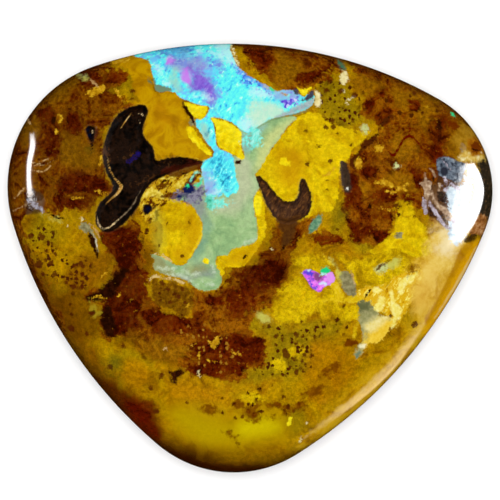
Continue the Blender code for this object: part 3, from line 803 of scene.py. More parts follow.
opal = paint(opal, "opal_rim_navy", (48, 72, 130),
    streak(-4.6, 10.35, 0.02, -4.3, 10.2, 0.08, -4, 10.1, 0.05),
    patch(-4.2, 10.3, -3.2, 10.2, -2.8, 10.5, -3, 11, -4, 11),
    soft=0.15, wander=0.15, by=SHARDS, strength=0.25)
opal = paint(opal, "opal_magenta", (206, 122, 238),
    patch(-3.5, 9.2, -3.1, 9.3, -2.85, 9, -3, 8.7, -3.4, 8.75),
    patch(-4.3, 9.9, -4, 10.05, -3.85, 9.85, -4.1, 9.7),
    soft=0.16, wander=0.16, by=CLOUDY, strength=0.9)
opal = paint(opal, "opal_milk", tints(FINE[0], (182, 230, 200), (214, 236, 206)),
    patch(-0.1, 7, 0.2, 7.6, 0.8, 7.8, 1.4, 7.6, 1.7, 7.1, 1.1, 6.95, 0.2, 6.5),
    soft=0.3, wander=0.25, by=BROKEN, strength=0.9)
opal = paint(opal, "opal_pale", (212, 244, 246),
    patch(-1.5, 11, -0.95, 10.5, -0.5, 9.5, -0.85, 9.5, -1.7, 10.5),
    patch(-0.6, 6.6, -0.2, 6.9, 0.1, 6.8, 0, 6.4, -0.3, 6.3),
    streak(0.1, 8.3, 0.08, 0.7, 8.15, 0.12, 1.3, 8.1, 0.06),
    streak(-2.7, 8.05, 0.05, -2.3, 8.1, 0.1, -2, 7.95, 0.05),
    streak(-4.6, 9.4, 0.04, -4.3, 9, 0.08, -4.1, 8.6, 0.03),
    streak(-1.9, 3.1, 0.06, -1.6, 3.3, 0.12, -1.2, 3.4, 0.08),
    dots(-2.6, 10.3, 0.12, -1.9, 10.2, 0.1), soft=0.2, wander=0.25, by=BROKEN, strength=0.6)
opal = paint(opal, "opal_pool",
    tints(fire, (28, 128, 168), (50, 178, 220), (74, 222, 240), (96, 244, 246), (186, 252, 250),
        spread=(0.54, 0.9)),
    patch(-1.9, 5.3, -1.5, 5.35, -1.2, 5, -0.9, 4, -0.9, 3.5, -1.3, 3.4, -2.1, 4.8),
    soft=0.25, wander=0.15, by=CLOUDY, strength=0.9)
opal = paint(opal, "opal_grey", tints(FINE[0], (140, 144, 152), (186, 190, 190)),
    streak(1.3, 7, 0.05, 2.4, 7.42, 0.15, 2.9, 7.65, 0.15, 3.15, 7.9, 0.08),
    streak(0.6, 8.6, 0.03, 0.9, 8.45, 0.09, 1.15, 8.3, 0.03), soft=0.08, wander=0.08, strength=0.9)
opal = paint(opal, "opal_olive", (112, 128, 92),
    patch(-5.1, 9.2, -4.8, 9, -4.6, 8.65, -3.9, 8.42, -4.2, 8.2, -4.7, 8.15, -5.1, 8.5),
    streak(-5.1, 9.9, 0.04, -5.02, 9.4, 0.04), soft=0.06, wander=0.07, strength=0.95)
opal = paint(opal, "opal_shadow", (24, 120, 150),
    streak(-1.85, 4.5, 0.01, -1.6, 4.1, 0.035, -1.3, 3.7, 0.02),
    streak(-1.6, 4.75, 0.01, -1.35, 4.45, 0.04, -1.2, 4.3, 0.01),
    streak(-1.45, 3.9, 0.01, -1.2, 3.55, 0.03),
    streak(-2, 6.5, 0.02, -2.1, 6.1, 0.03),
    streak(-2.25, 6.25, 0.01, -2.1, 5.9, 0.03), soft=0.05, wander=0.05, strength=0.8)
colour = paint(colour, "opal", opal,
    patch(-5.85, 11.2, -5.8, 10.15, -5.5, 10, -5.1, 9.85, -4.92, 9.5, -4.75, 8.6, -4.55, 8.25,
        -4.1, 8.3, -3.75, 8.25, -3.45, 7.95, -2.5, 7.62, -2.05, 7.52, -2.08, 7.25, -2.3, 6.95,
        -2.72, 6.88, -2.62, 6.5, -2.05, 5.6, -1.8, 5.35, -1.85, 5.05, -2.2, 4.85, -2.42, 4.5,
        -2.35, 4.1, -2.2, 3.1, -2.1, 2.75, -1.85, 2.7, -1.75, 3.1, -1.5, 3, -1.35, 3.2, -1.1, 3,
        -0.9, 3.2, -0.7, 3.2, -0.55, 3.5, -0.65, 3.9, -0.8, 4.8, -0.95, 5.15, -1.6, 5.5, -1.7, 6.1,
        -1.78, 6.6, -1.95, 6.98, -1.5, 6.95, -1, 6.78, -0.35, 6.3, 0.05, 6.28, 0.5, 6.6, 1.1, 6.9,
        2.3, 7.2, 2.8, 7.4, 3.15, 7.7, 3.2, 8.1, 2.9, 8.15, 2.6, 8, 2.3, 8.25, 2, 8.35, 1.25, 8.3,
        0.95, 8.5, 0.15, 8.92, -0.6, 9.55, -1, 10.4, -1.1, 11.2), soft=0.035, wander=0.05)

# Islands of the yellow in the fire, brighter than the rest, and the slivers and flecks near them.
bright = tints(FLOW[1], (222, 182, 0), (242, 214, 6), (252, 234, 30), (236, 204, 0),
    spread=(0.35, 0.65))
bright = mottle(bright, (FINE[1], 0.78, 1.08))
colour = paint(colour, "bright", bright,
    patch(-3.3, 7.78, -2.5, 7.55, -2.08, 7.48, -2.35, 6.92, -2.7, 6.95, -3.05, 7.25),
    patch(-1.93, 6.95, -1, 6.72, -0.6, 6.45, -0.42, 6.15, -0.45, 5.6, -0.3, 5, -0.45, 4.92,
        -0.9, 5.2, -1.6, 5.6, -1.75, 6.55),
    patch(0.25, 3.1, 0.2, 2.7, 0.3, 2.2, 0.5, 2.1, 0.6, 2.6, 0.5, 3.05),
    patch(2.3, 8.5, 2.7, 8.42, 3.05, 8.5, 2.85, 8.2, 2.7, 8.05),
    patch(-3.15, 6.5, -2.85, 6.45, -2.55, 6, -2.15, 5.55, -1.9, 5.15, -2.2, 5.2, -3.05, 6),
    dots(-2.2, -0.15, 0.15, 1.65, 4.8, 0.2, 1.9, 4.7, 0.14, 2.9, 5.8, 0.07, 3.2, 3.9, 0.07,
        1.95, -8.22, 0.14, 2, -8, 0.1), soft=0.035, wander=0.06)
colour = paint(colour, "soft_yellow", tints(FINE[1], (212, 172, 0), (232, 198, 20), (240, 214, 60)),
    patch(4.05, -1.2, 4.3, -1.1, 4.75, -1.9, 5.3, -1.9, 5.9, -1.6, 6, -1.75, 5.4, -2.2, 4.6, -2.15,
        4.2, -1.8),
    streak(3.5, -2.2, 0.02, 3.9, -2.05, 0.08, 4.4, -2.1, 0.1),
    streak(5.2, -3.9, 0.04, 5.2, -3.5, 0.1, 5.3, -3, 0.04),
    streak(3.5, 0.3, 0.02, 3.8, -0.1, 0.08, 4.2, -0.5, 0.06, 4.5, -1, 0.05),
    streak(2.1, -0.55, 0.02, 2.4, -0.7, 0.06, 2.6, -1, 0.03),
    soft=0.09, wander=0.14, by=BROKEN, strength=0.85)
colour = paint(colour, "green_line", (104, 128, 84),
    streak(0.1, 6.3, 0.01, 1.1, 6.86, 0.035, 2.3, 7.15, 0.03, 2.9, 7.35, 0.01),
    soft=0.04, wander=0.03, strength=0.85)
colour = paint(colour, "aqua", tints(STROKES[0], (84, 200, 196), (112, 244, 226), (190, 252, 240)),
    patch(-2.15, 3, -1.85, 3.1, -1.9, 2.45, -2.15, 2.5),
    patch(-0.15, 5.7, 0.25, 6.4, 0.5, 6.3, 0.3, 5.65, 0.05, 5.5),
    streak(-1.2, 2.75, 0.02, -1, 2.7, 0.05, -0.85, 2.8, 0.02),
    streak(-1.75, 2.9, 0.02, -1.5, 2.75, 0.04, -1.4, 2.8, 0.02),
    streak(-0.1, 5.6, 0.03, 0.1, 5.9, 0.14, 0.3, 6.05, 0.08, 0.45, 6.3, 0.02),
    streak(0.1, 5.45, 0.02, 0.35, 5.7, 0.06, 0.45, 5.9, 0.02),
    streak(-0.3, 5.9, 0.02, 0.1, 6.35, 0.02),
    patch(1.85, 8.1, 2, 8.25, 2.25, 8.15, 2.2, 7.98, 1.95, 7.97),
    soft=0.08, wander=0.14, by=SHARDS, strength=0.85)
colour = paint(colour, "dusk",
    tints(FINE[2], (60, 54, 88), (98, 88, 120), (142, 138, 156), (110, 104, 130)),
    patch(-3.7, 3, -3.4, 3.3, -2.6, 3.6, -2.3, 3.5, -2.25, 3.1, -2.5, 2.8, -2.9, 2.75),
    soft=0.14, wander=0.12, by=SHARDS, strength=0.9)
colour = paint(colour, "mauve", (108, 80, 82),
    streak(-4, 2.95, 0.04, -3.8, 2.98, 0.1, -3.6, 2.98, 0.08), soft=0.08, wander=0.08)
colour = paint(colour, "navy", (18, 26, 76),
    patch(-3.3, 3.3, -3.2, 3.55, -2.9, 3.6, -2.75, 3.4, -2.95, 3.25),
    streak(-3.6, 3.02, 0.04, -3.4, 3.05, 0.09, -3.2, 3.1, 0.06),
    streak(-3, 4.05, 0.02, -2.85, 3.9, 0.05), soft=0.08, wander=0.08, by=BROKEN)
colour = paint(colour, "sea_foam", tints(FINE[0], (40, 150, 110), (96, 212, 180), (180, 236, 216)),
    streak(-2.95, 3.75, 0.03, -2.85, 4, 0.04, -2.65, 4.25, 0.05, -2.45, 4.25, 0.05),
    streak(-2.75, 3.65, 0.04, -2.5, 3.7, 0.08, -2.35, 3.95, 0.06),
    patch(-2.25, 3, -1.9, 3.05, -1.82, 2.7, -1.9, 2.42, -2.1, 2.42),
    soft=0.06, wander=0.08, strength=0.9)
colour = paint(colour, "emerald", (46, 224, 140),
    dots(-3.1, 3.57, 0.1, 9.47, 3.12, 0.06),
    streak(-2.75, 3.62, 0.02, -2.55, 3.62, 0.05, -2.45, 3.8, 0.02),
    streak(1, 8.45, 0.03, 1.12, 8.35, 0.06, 1.2, 8.25, 0.03),
    streak(10, 7.25, 0.03, 10.12, 7.13, 0.06, 10.2, 7.05, 0.03), soft=0.05, wander=0.06)
colour = paint(colour, "dark_green", (62, 112, 84),
    streak(4.4, 9.8, 0.05, 4.55, 9.6, 0.1, 4.7, 9.4, 0.05),
    streak(-5.05, 8.95, 0.02, -4.95, 8.7, 0.05), soft=0.08, wander=0.08)
colour = paint(colour, "violet_gem",
    tints(SMALL_FIRE[2], (50, 34, 150), (96, 66, 214), (142, 132, 236), (206, 214, 250),
        spread=(0, 1)),
    patch(1.6, 7.75, 2.2, 8, 2.45, 7.85, 1.9, 7.5), soft=0.05, wander=0.1, by=SHARDS)

# The heart, a fleck of violet and magenta fire.
heart = tints(calculate("MULTIPLY_ADD", SMALL_FIRE[1], 0.4, STROKES[1]), (118, 76, 216),
    (206, 92, 230), (240, 110, 242), (248, 150, 248), (216, 110, 238), spread=(0.42, 1.0))
heart = paint(heart, "heart_violet", (92, 66, 216),
    patch(2.55, -0.75, 2.8, -0.5, 3.2, -0.6, 2.95, -1),
    streak(2.9, -1.2, 0.03, 3.2, -1.6, 0.05), soft=0.12, wander=0.12, by=SHARDS)
heart = paint(heart, "heart_mauve", (134, 70, 128),
    patch(3.2, -0.7, 3.55, -0.8, 3.6, -1.05, 3.4, -1.15, 3.2, -1), soft=0.1, wander=0.08)
heart = paint(heart, "heart_pink", (226, 150, 240),
    patch(3.8, -0.75, 4.1, -0.7, 4.25, -1, 4.1, -1.3, 3.85, -1.25), soft=0.12, wander=0.1)
heart = paint(heart, "heart_ice", (206, 234, 250),
    streak(3.45, -1.28, 0.03, 3.65, -1.25, 0.08, 3.8, -1.35, 0.03),
    streak(2.75, -0.6, 0.01, 2.95, -0.62, 0.04), soft=0.06, wander=0.05)
colour = paint(colour, "heart", heart,
    patch(2.6, -0.72, 2.8, -0.55, 3.4, -0.72, 3.55, -0.95, 3.8, -0.75, 4.05, -0.7, 4.22, -1,
        4.02, -1.3, 3.7, -1.4, 3.5, -1.65, 3.3, -1.65, 3.05, -1.45, 2.88, -1.15, 2.68, -0.92),
    soft=0.03, wander=0.04)
colour = paint(colour, "heart_green", (30, 206, 122),
    patch(3.5, -0.72, 3.6, -0.48, 3.85, -0.45, 3.97, -0.62, 3.8, -0.78), soft=0.05, wander=0.06)
colour = paint(colour, "heart_foam", (176, 240, 232),
    streak(3.45, -0.85, 0.02, 3.62, -0.8, 0.07, 3.8, -0.82, 0.03),
    dots(2.55, -0.72, 0.05), soft=0.04, wander=0.05)
colour = paint(colour, "slate", tints(DUST[0], (38, 38, 50), (84, 84, 104)),
    patch(2.55, 7.8, 2.75, 8, 3.12, 8.35, 3.2, 8.1, 3, 7.88),
    patch(2.2, 8.45, 2.35, 8.4, 2.45, 8.2, 2.3, 8.15, 2.15, 8.25), soft=0.05, wander=0.06)
colour = paint(colour, "teal_crystal",
    tints(FINE[1], (66, 112, 84), (104, 148, 112), (148, 180, 140)),
    patch(2.9, 1.4, 3, 1.7, 3.4, 2.15, 3.55, 2.05, 3.5, 1.75, 3.1, 1.25), soft=0.06, wander=0.08)


# ------------------------------------------------------------------------------
# Flakes, veins and specks
# The small things every boulder opal carries: pale clay flakes, slivers of gold limonite, slots of
# grey clay, dark veins, hairline cracks filled with red iron oxide, and black manganese specks.
# ------------------------------------------------------------------------------
# A painted glow of cream light below the window's highlight on the right, brightest at its heart.
colour = paint(colour, "painted_cream_glow", tints(FINE[1], (232, 192, 76), (244, 214, 116)),
    patch(9.1, 1.5, 9.9, 1.5, 10.3, 0.8, 9.3, -1.5, 8.5, -0.8, 8.95, 0.2),
    soft=0.55, wander=0.35, by=CLOUDY, strength=0.85)
colour = paint(colour, "painted_glow_heart", (252, 238, 194),
    patch(9.3, 1.3, 10, 1.3, 10.35, 0.7, 10.1, 0.1, 9.5, 0.3),
    soft=0.5, wander=0.3, by=BROKEN, strength=0.65)
chipped = calculate("MULTIPLY_ADD", FINE[1], 0.6, STROKES[2])
colour = paint(colour, "chips",
    tints(chipped, (176, 120, 2), (210, 158, 10), (232, 186, 26), (222, 172, 18), (250, 226, 84),
        (255, 242, 130), spread=(0.58, 1.0)),
    patch(5.4, -1.7, 5.9, -1.4, 6.4, -1.5, 7.6, -0.7, 8.3, -0.6, 8.6, -1, 8.2, -1.5, 7.6, -3,
        7.2, -3.5, 7, -3, 6.1, -2.5), soft=0.12, wander=0.2, by=BROKEN, strength=0.95)
colour = paint(colour, "peach", tints(FLOW[0], (226, 174, 62), (240, 206, 100)),
    patch(8.2, -1.4, 8.8, -0.6, 9.4, -0.7, 8.8, -2.4, 8.1, -2.6),
    soft=0.35, wander=0.25, by=CLOUDY, strength=0.65)
colour = paint(colour, "pale_chips",
    tints(FINE[2], (240, 216, 84), (252, 238, 124), (255, 250, 168)),
    patch(6.1, -2.65, 6.2, -2.2, 6.5, -1.85, 6.75, -1.95, 6.65, -2.4, 6.4, -2.7),
    patch(6.85, -1.6, 7.1, -1.5, 7.3, -2.1, 7.45, -2.8, 7.2, -2.9, 6.95, -2.3),
    patch(7.5, -1.1, 8.3, -0.75, 8.1, -1.1, 7.7, -1.4, 7.5, -1.9, 7.35, -1.5),
    patch(7.1, -3, 7.4, -2.95, 7.05, -3.6, 6.95, -3.3),
    patch(6, -1.5, 6.3, -1.5, 6.6, -1.65, 6.3, -1.75),
    soft=0.07, wander=0.1, by=BROKEN, strength=0.85)

gold = tints(FINE[0], (150, 104, 8), (190, 140, 14), (222, 178, 40))
colour = paint(colour, "gold", gold,
    patch(-8.1, 8.25, -7.35, 8.6, -7.25, 8.35, -7.6, 8.1, -8, 8.05),
    patch(-6.8, 9.65, -6.3, 9.75, -5.95, 10, -6.3, 10.15, -6.9, 9.9),
    streak(-6.75, 8.45, 0.02, -6.55, 8.2, 0.08, -6.3, 7.8, 0.02),
    streak(-9.5, 7.15, 0.03, -9.45, 6.9, 0.08, -9.5, 6.65, 0.03),
    streak(-9.6, 6.5, 0.03, -9.6, 6.2, 0.06),
    streak(-7.7, 3.35, 0.02, -7.4, 3.25, 0.06, -7.1, 3.25, 0.02),
    streak(-9, 3.05, 0.02, -8.6, 2.95, 0.06, -8.2, 3, 0.02),
    streak(-7.5, 4.6, 0.03, -7.4, 4.9, 0.05, -7.4, 5.2, 0.02),
    streak(-7.55, -1.15, 0.01, -7.2, -0.8, 0.04, -6.9, -0.6, 0.02),
    streak(-7.8, -1.98, 0.02, -7.5, -1.9, 0.05, -7.15, -1.98, 0.02),
    streak(-6.55, -1.95, 0.02, -6.45, -1.75, 0.04),
    streak(-6, -2.2, 0.02, -5.9, -2.05, 0.05),
    streak(-5.7, -2.65, 0.02, -5.55, -2.55, 0.04),
    patch(-2.1, -4.1, -1.9, -4.15, -1.6, -3.9, -1.5, -4.05, -1.8, -4.5),
    streak(-2.55, -4.95, 0.02, -2.5, -4.7, 0.06),
    streak(-2.3, -5, 0.01, -1.9, -5.15, 0.03, -1.6, -5.1, 0.01),
    streak(-1, -4.6, 0.01, -0.6, -4.8, 0.03, -0.4, -4.7, 0.01),
    streak(-2.9, -4.4, 0.01, -2.6, -4.2, 0.03),
    dots(-2.5, -5.8, 0.09, -6.55, 3.35, 0.05, 6.4, 5.5, 0.13, 8.75, 7.5, 0.08),
    patch(6.2, 5.6, 6.5, 5.65, 6.6, 5.4, 6.3, 5.25),
    patch(5.2, 4.9, 5.5, 4.85, 5.55, 4.5, 5.25, 4.45),
    streak(6.1, 3.7, 0.03, 6.6, 3.82, 0.09, 7.1, 3.6, 0.07, 7.8, 3.35, 0.03),
    streak(6.7, 3.35, 0.02, 7.2, 3.3, 0.05, 7.8, 3.7, 0.02),
    streak(6.1, 2.55, 0.02, 7, 2.35, 0.02),
    streak(3.5, 4, 0.02, 3.9, 4.2, 0.05, 4.2, 4.5, 0.02),
    streak(-3.2, -2.5, 0.02, -3, -2.3, 0.05), soft=0.04, wander=0.08)
cream_clay = tints(FINE[1], (206, 184, 110), (236, 220, 154), (248, 240, 190))
# Cream clay; its dot at 4.83, 3.4 is a painted sparkle of light on the slot.
colour = paint(colour, "cream_clay", cream_clay,
    patch(3.2, 8.3, 3.4, 8.25, 3.55, 7.9, 3.45, 7.55, 3.2, 7.65, 3.25, 8),
    patch(4.6, 9.3, 4.85, 9.2, 4.9, 8.9, 4.7, 8.65, 4.5, 8.75),
    dots(4.65, 8.3, 0.07, 4.95, 7.9, 0.06, 4.8, 7.7, 0.06, 5.15, 8, 0.05, -9.05, 1.6, 0.05,
        -8.35, 1.95, 0.08, 2.8, -8.2, 0.05, 1.1, 0.45, 0.06, 4.83, 3.4, 0.05, 7.3, 4.55, 0.1),
    streak(2.45, -9.15, 0.02, 2.55, -8.95, 0.04),
    streak(-2.56, -5.65, 0.03, -2.5, -5.9, 0.05),
    streak(-0.95, 10.6, 0.03, -0.75, 10.1, 0.06, -0.6, 9.6, 0.04), wander=0.08)

# One flake of clay by the heart, grey-green above and cream to gold below.
flake = tints(FINE[1], (132, 132, 78), (158, 154, 100), (176, 168, 116))
flake = paint(flake, "flake_dark", (98, 100, 60),
    patch(5.3, -2.2, 6, -2.2, 5.9, -2.6, 5.35, -2.6), soft=0.2, wander=0.1)
flake = paint(flake, "flake_gold", tints(FINE[2], (232, 186, 30), (250, 214, 72)),
    patch(5.7, -4.5, 5.8, -3.8, 6.7, -3, 7.2, -3, 7.2, -3.7, 6.6, -4.3), soft=0.25, wander=0.16)
flake = paint(flake, "flake_cream", tints(FINE[0], (240, 214, 104), (250, 238, 170)),
    patch(5.75, -3.35, 6.6, -2.8, 6.9, -2.95, 6.1, -3.6),
    soft=0.25, wander=0.16, by=CLOUDY, strength=0.9)
flake = paint(flake, "flake_tip", (246, 238, 190),
    streak(5.4, -4.35, 0.03, 5.6, -4.4, 0.08, 5.75, -4.3, 0.03), soft=0.08)
flake = paint(flake, "flake_teal", (112, 128, 100),
    streak(5.25, -4.95, 0.05, 5.4, -4.7, 0.08), soft=0.06)
colour = paint(colour, "flake", flake,
    patch(5.35, -2.3, 5.65, -2.1, 6, -2.2, 6.15, -2.6, 6.5, -2.85, 6.95, -2.9, 7.05, -3.3,
        6.4, -4.2, 5.95, -4.25, 5.35, -4.95, 5.2, -4.8, 5.35, -4.4, 5.6, -4, 5.4, -3, 5.45, -2.7),
    soft=0.05, wander=0.1)
colour = paint(colour, "grey_clay", tints(FINE[1], (106, 96, 62), (136, 128, 86), (164, 156, 112)),
    patch(4.45, -0.8, 4.95, -0.72, 5.27, -1.6, 5.2, -1.9, 4.72, -1.7),
    patch(7.2, 1.05, 7.35, 1.3, 7.6, 1.25, 7.55, 1.02, 7.35, 0.95),
    patch(-3, 6.6, -2.95, 6.95, -2.75, 6.95, -2.7, 6.6),
    patch(-8.5, 1.55, -8.3, 1.75, -7.95, 1.6, -7.6, 0.8, -7.6, 0.3, -7.95, 1.15, -8.2, 1.3),
    soft=0.04, wander=0.08)
# Tan flecks, and painted glints: the line by the left slot and the whiskers by the left slit.
colour = paint(colour, "tan", tints(FINE[2], (150, 110, 60), (190, 150, 92), (214, 180, 122)),
    streak(-7.95, 8.9, 0.02, -7.75, 8.7, 0.05, -7.55, 8.5, 0.02),
    streak(-11.1, 6.9, 0.04, -10.95, 6.72, 0.06),
    streak(-11.7, 3, 0.02, -11.45, 3.25, 0.05, -11.2, 3.5, 0.02),
    streak(-11.8, 2.35, 0.02, -11.1, 2.65, 0.02),
    streak(-8.1, 1.78, 0.015, -7.85, 1.6, 0.035, -7.6, 1.3, 0.035, -7.5, 1, 0.02),
    streak(-11, 4.75, 0.01, -10.5, 4.75, 0.025, -10, 4.95, 0.01),
    streak(-10.9, 4.6, 0.01, -10.2, 4.65, 0.025, -9.8, 4.85, 0.01),
    streak(-11, 4.4, 0.01, -10.3, 4.3, 0.02, -9.9, 4.6, 0.01),
    streak(-4.3, -4.58, 0.01, -4.18, -4.48, 0.025, -4.08, -4.58, 0.01),
    streak(4.85, -0.55, 0.01, 5.05, -0.75, 0.04, 5.2, -1.3, 0.02),
    streak(1.5, 8.22, 0.02, 1.68, 8.14, 0.05, 1.85, 8.1, 0.02), soft=0.04)
colour = paint(colour, "lime_clay", tints(FINE[0], (176, 172, 62), (204, 202, 92), (190, 184, 76)),
    patch(6.75, -0.35, 7.35, 0.1, 7.4, -0.15, 7.1, -0.45),
    patch(0.3, -2.85, 0.5, -2.65, 0.95, -2.75, 1, -3.1, 0.6, -3.2),
    streak(-10.5, 2.15, 0.03, -10, 2.1, 0.07, -9.5, 1.95, 0.03),
    streak(-8.6, 9.1, 0.02, -8.2, 9, 0.05),
    streak(3.95, 0, 0.01, 4.3, -0.45, 0.05, 4.5, -1.35, 0.01),
    soft=0.14, wander=0.16, by=BROKEN, strength=0.85)
colour = paint(colour, "mint_clay", tints(FINE[0], (150, 164, 90), (206, 214, 146), (176, 180, 90)),
    patch(6.2, -0.6, 6.4, -0.35, 6.75, -0.3, 6.8, -0.55, 6.5, -0.78),
    patch(5.55, 6.3, 5.6, 6.6, 5.85, 6.55, 5.9, 6.35, 5.75, 6.2),
    patch(7.15, 4.5, 7.3, 4.7, 7.45, 4.55, 7.3, 4.45), soft=0.1, wander=0.12, strength=0.9)
colour = paint(colour, "moss_sliver", (130, 130, 80),
    streak(-8.6, 9.1, 0.02, -8.4, 9.1, 0.04, -8.2, 9, 0.02),
    streak(-8.2, 9.25, 0.02, -8.1, 9.1, 0.04), soft=0.03)
colour = paint(colour, "slot_glint", (226, 216, 186),
    streak(-7.78, 1.2, 0.01, -7.68, 0.9, 0.04, -7.6, 0.6, 0.03, -7.6, 0.45, 0.01),
    soft=0.03, wander=0.04)

colour = paint(colour, "great_vein", tints(FINE[0], (44, 12, 0), (80, 34, 4), (60, 20, 0)),
    streak(6.95, 7.05, 0.03, 6.7, 6.75, 0.1, 6.45, 6.45, 0.1, 6.3, 6.1, 0.12, 5.9, 5.75, 0.12,
        5.3, 5.1, 0.12, 5.1, 4.7, 0.1, 5.2, 4.3, 0.06), soft=0.06, wander=0.12, by=BROKEN)
colour = paint(colour, "green_gap", (164, 140, 26),
    patch(-8, -2.35, -7.6, -2.25, -7.45, -2.6, -7.65, -3, -7.9, -2.9),
    soft=0.12, wander=0.2, by=BROKEN, strength=0.8)
colour = paint(colour, "veins", (44, 14, 0),
    streak(-3.35, 7.75, 0.05, -3.2, 7.4, 0.09, -2.9, 7, 0.09, -2.75, 6.6, 0.04),
    streak(-0.75, 4.75, 0.03, -0.55, 4.75, 0.1, -0.45, 4.65, 0.03),
    streak(-2.15, 5.55, 0.02, -2.05, 5.5, 0.05),
    streak(-0.35, 0, 0.03, -0.1, 0.15, 0.06),
    streak(-10, 2.25, 0.02, -9.6, 2, 0.06, -9.25, 1.95, 0.03),
    streak(-8.05, 1.3, 0.03, -7.86, 1, 0.12, -7.76, 0.6, 0.11, -7.62, 0.2, 0.06, -7.58, 0, 0.01),
    streak(5.7, -2, 0.02, 5.85, -1.75, 0.05, 6, -1.55, 0.02),
    streak(5.95, 2.5, 0.05, 5.98, 2.7, 0.06),
    streak(-7.95, -2.95, 0.03, -7.83, -2.72, 0.08, -7.74, -2.5, 0.03),
    streak(2, 1.2, 0.05, 1.75, 0.8, 0.1, 1.6, 0.35, 0.04),
    streak(-4.6, 3.9, 0.02, -4.3, 3.8, 0.05, -4, 3.9, 0.02),
    streak(-3.6, 4.35, 0.01, -3.3, 4.2, 0.04, -3.1, 4.3, 0.02),
    streak(-4.2, 3.5, 0.01, -3.9, 3.6, 0.03, -3.7, 3.8, 0.01),
    patch(-9.85, 7.05, -9.68, 7, -9.65, 6.75, -9.85, 6.75), soft=0.04, wander=0.06)
colour = paint(colour, "hairlines", (92, 14, 0),
    streak(6.75, 5.6, 0.03, 6.95, 5.2, 0.05, 7.15, 5.12, 0.07, 7.4, 5.5, 0.06, 7.6, 5.85, 0.07,
        7.9, 6.08, 0.07, 8.15, 5.95, 0.06, 8.45, 5.6, 0.04, 8.6, 5.3, 0.01),
    streak(7.9, 6.1, 0.04, 7.95, 6.45, 0.04, 7.8, 6.95, 0.02),
    streak(-3.1, -2.05, 0.01, -2.4, -2.2, 0.025, -1.8, -2.1, 0.01), soft=0.03, wander=0.03)
colour = paint(colour, "specks", (82, 32, 4),
    dots(3.8, 8.35, 0.12, 3.75, 6.5, 0.12, 2.75, 6.3, 0.1, 3.4, 5.55, 0.1, 2.85, 4.65, 0.1,
        3.95, 4.8, 0.12, 3.8, 6.9, 0.08, 4.1, 6.8, 0.12, 4.15, 6.5, 0.1, 3.8, 3.85, 0.06,
        3.8, 3.4, 0.06, 4.7, 6.9, 0.09, 5.1, 6.85, 0.07, 5.25, 6.3, 0.07, 4.35, 6.2, 0.06,
        5, 5.6, 0.07, 4.5, 8.3, 0.16, 5.2, 8.1, 0.13, 8.2, 8.2, 0.11, 7.1, 7, 0.11, 7.25, 2.6, 0.15,
        8.15, 2.05, 0.1, 4.35, 1.4, 0.08),
    dots(-5.85, 8.3, 0.11, -5.9, 7.9, 0.1, -9.2, 4.1, 0.12, -8.5, 4.15, 0.13, -9.7, 2.4, 0.11,
        -3, 1.8, 0.07, -2.55, 1.7, 0.05, -3.3, 1.2, 0.05, -3.35, 0.1, 0.07, -4.1, 1.7, 0.04,
        -4.65, 1.4, 0.05, -4.5, 0.6, 0.05, -4.9, 0.35, 0.06, -5.1, 2.4, 0.15),
    dots(-10.9, 1.1, 0.15, -10.35, 1.05, 0.18, -10.15, 0.3, 0.12, -9.7, 0.2, 0.11,
        -10.15, -0.1, 0.11, -9.9, -0.25, 0.13, -10.3, -0.8, 0.12, -9.7, -0.8, 0.15,
        -8.7, -0.4, 0.13, -8.4, -0.25, 0.12, -8.3, -0.4, 0.1, -7.9, -0.3, 0.08, -8.35, -0.8, 0.11,
        -8.9, -0.8, 0.1, -8.6, -0.85, 0.08, -9.1, -1.2, 0.1, -8.75, -1.4, 0.15, -8.4, -1.5, 0.12,
        -8.6, -1, 0.1, -10.5, -0.3, 0.2, -8.3, -1.2, 0.08, -8.1, -3.75, 0.11, -8.9, -3.5, 0.18,
        -7.85, -2.8, 0.14),
    dots(-6.95, -5.4, 0.14, -6.3, -4.35, 0.12, -4.4, -5.85, 0.15, -4.9, -6.45, 0.12,
        -3.15, -7.15, 0.08, -4.65, -7.6, 0.15, 2.55, -3.15, 0.08, 0.7, -3.4, 0.12, 0.7, -2.5, 0.11,
        1, -2.2, 0.08, 3.2, -3.6, 0.09, 3.2, -3.95, 0.09, 1.3, -3.85, 0.12, 1.6, -4.05, 0.11,
        2.3, -3.8, 0.13, 2.6, -3.85, 0.09, 2.3, -4.25, 0.11, 2.6, -4.4, 0.09, 1.8, -4.8, 0.19,
        2.7, -4.8, 0.11, 3.1, -4.85, 0.11, 3.05, -5.05, 0.07, 2.25, -5, 0.09, 2.6, -5.1, 0.11,
        2.75, -5.25, 0.07, 2, -5.4, 0.1, 2.3, -5.65, 0.13, 2.6, -5.65, 0.09, 2.55, -5.45, 0.07,
        1.75, -4.6, 0.14, 2.1, -4.95, 0.07, 1.3, -4.3, 0.07),
    dots(1.1, -6.3, 0.07, 0.6, -6.5, 0.07, 1.65, -6.9, 0.11, -0.8, -7.25, 0.12, 0.3, -7.05, 0.09,
        1.4, -7.3, 0.14, 0.6, -7.6, 0.09, 2.2, -7.6, 0.09, 0.2, -7.8, 0.15, -0.4, -7.85, 0.09,
        -0.75, -7.95, 0.09, 4.65, -2.4, 0.09, 4.25, -3.3, 0.07, 4.3, -3.6, 0.07, 5, -3.2, 0.07,
        4.6, -3.8, 0.07, 7, -2.85, 0.08, 8.2, -3.3, 0.16, 5.85, -0.15, 0.05),
    streak(6.3, -0.62, 0.02, 6.4, -0.45, 0.04, 6.6, -0.3, 0.02),
    streak(6.65, -0.35, 0.02, 7, -0.05, 0.01),
    streak(1.65, -5.8, 0.05, 1.85, -5.82, 0.06),
    dots(-4.35, -1.25, 0.13, -4.1, -1.55, 0.12, -3.55, -1.9, 0.12, -3.95, -2.2, 0.1,
        -3.35, -1.5, 0.1, -4.6, -1.7, 0.08, -3.2, -2.2, 0.08),
    soft=0.045, wander=0.07, strength=0.9)
colour = paint(colour, "brown_grain", tints(FINE[2], (92, 40, 0), (120, 62, 0)),
    patch(4.65, -4.2, 4.9, -4.02, 5.3, -4.1, 5.35, -4.3, 4.75, -4.4), soft=0.06, wander=0.06)
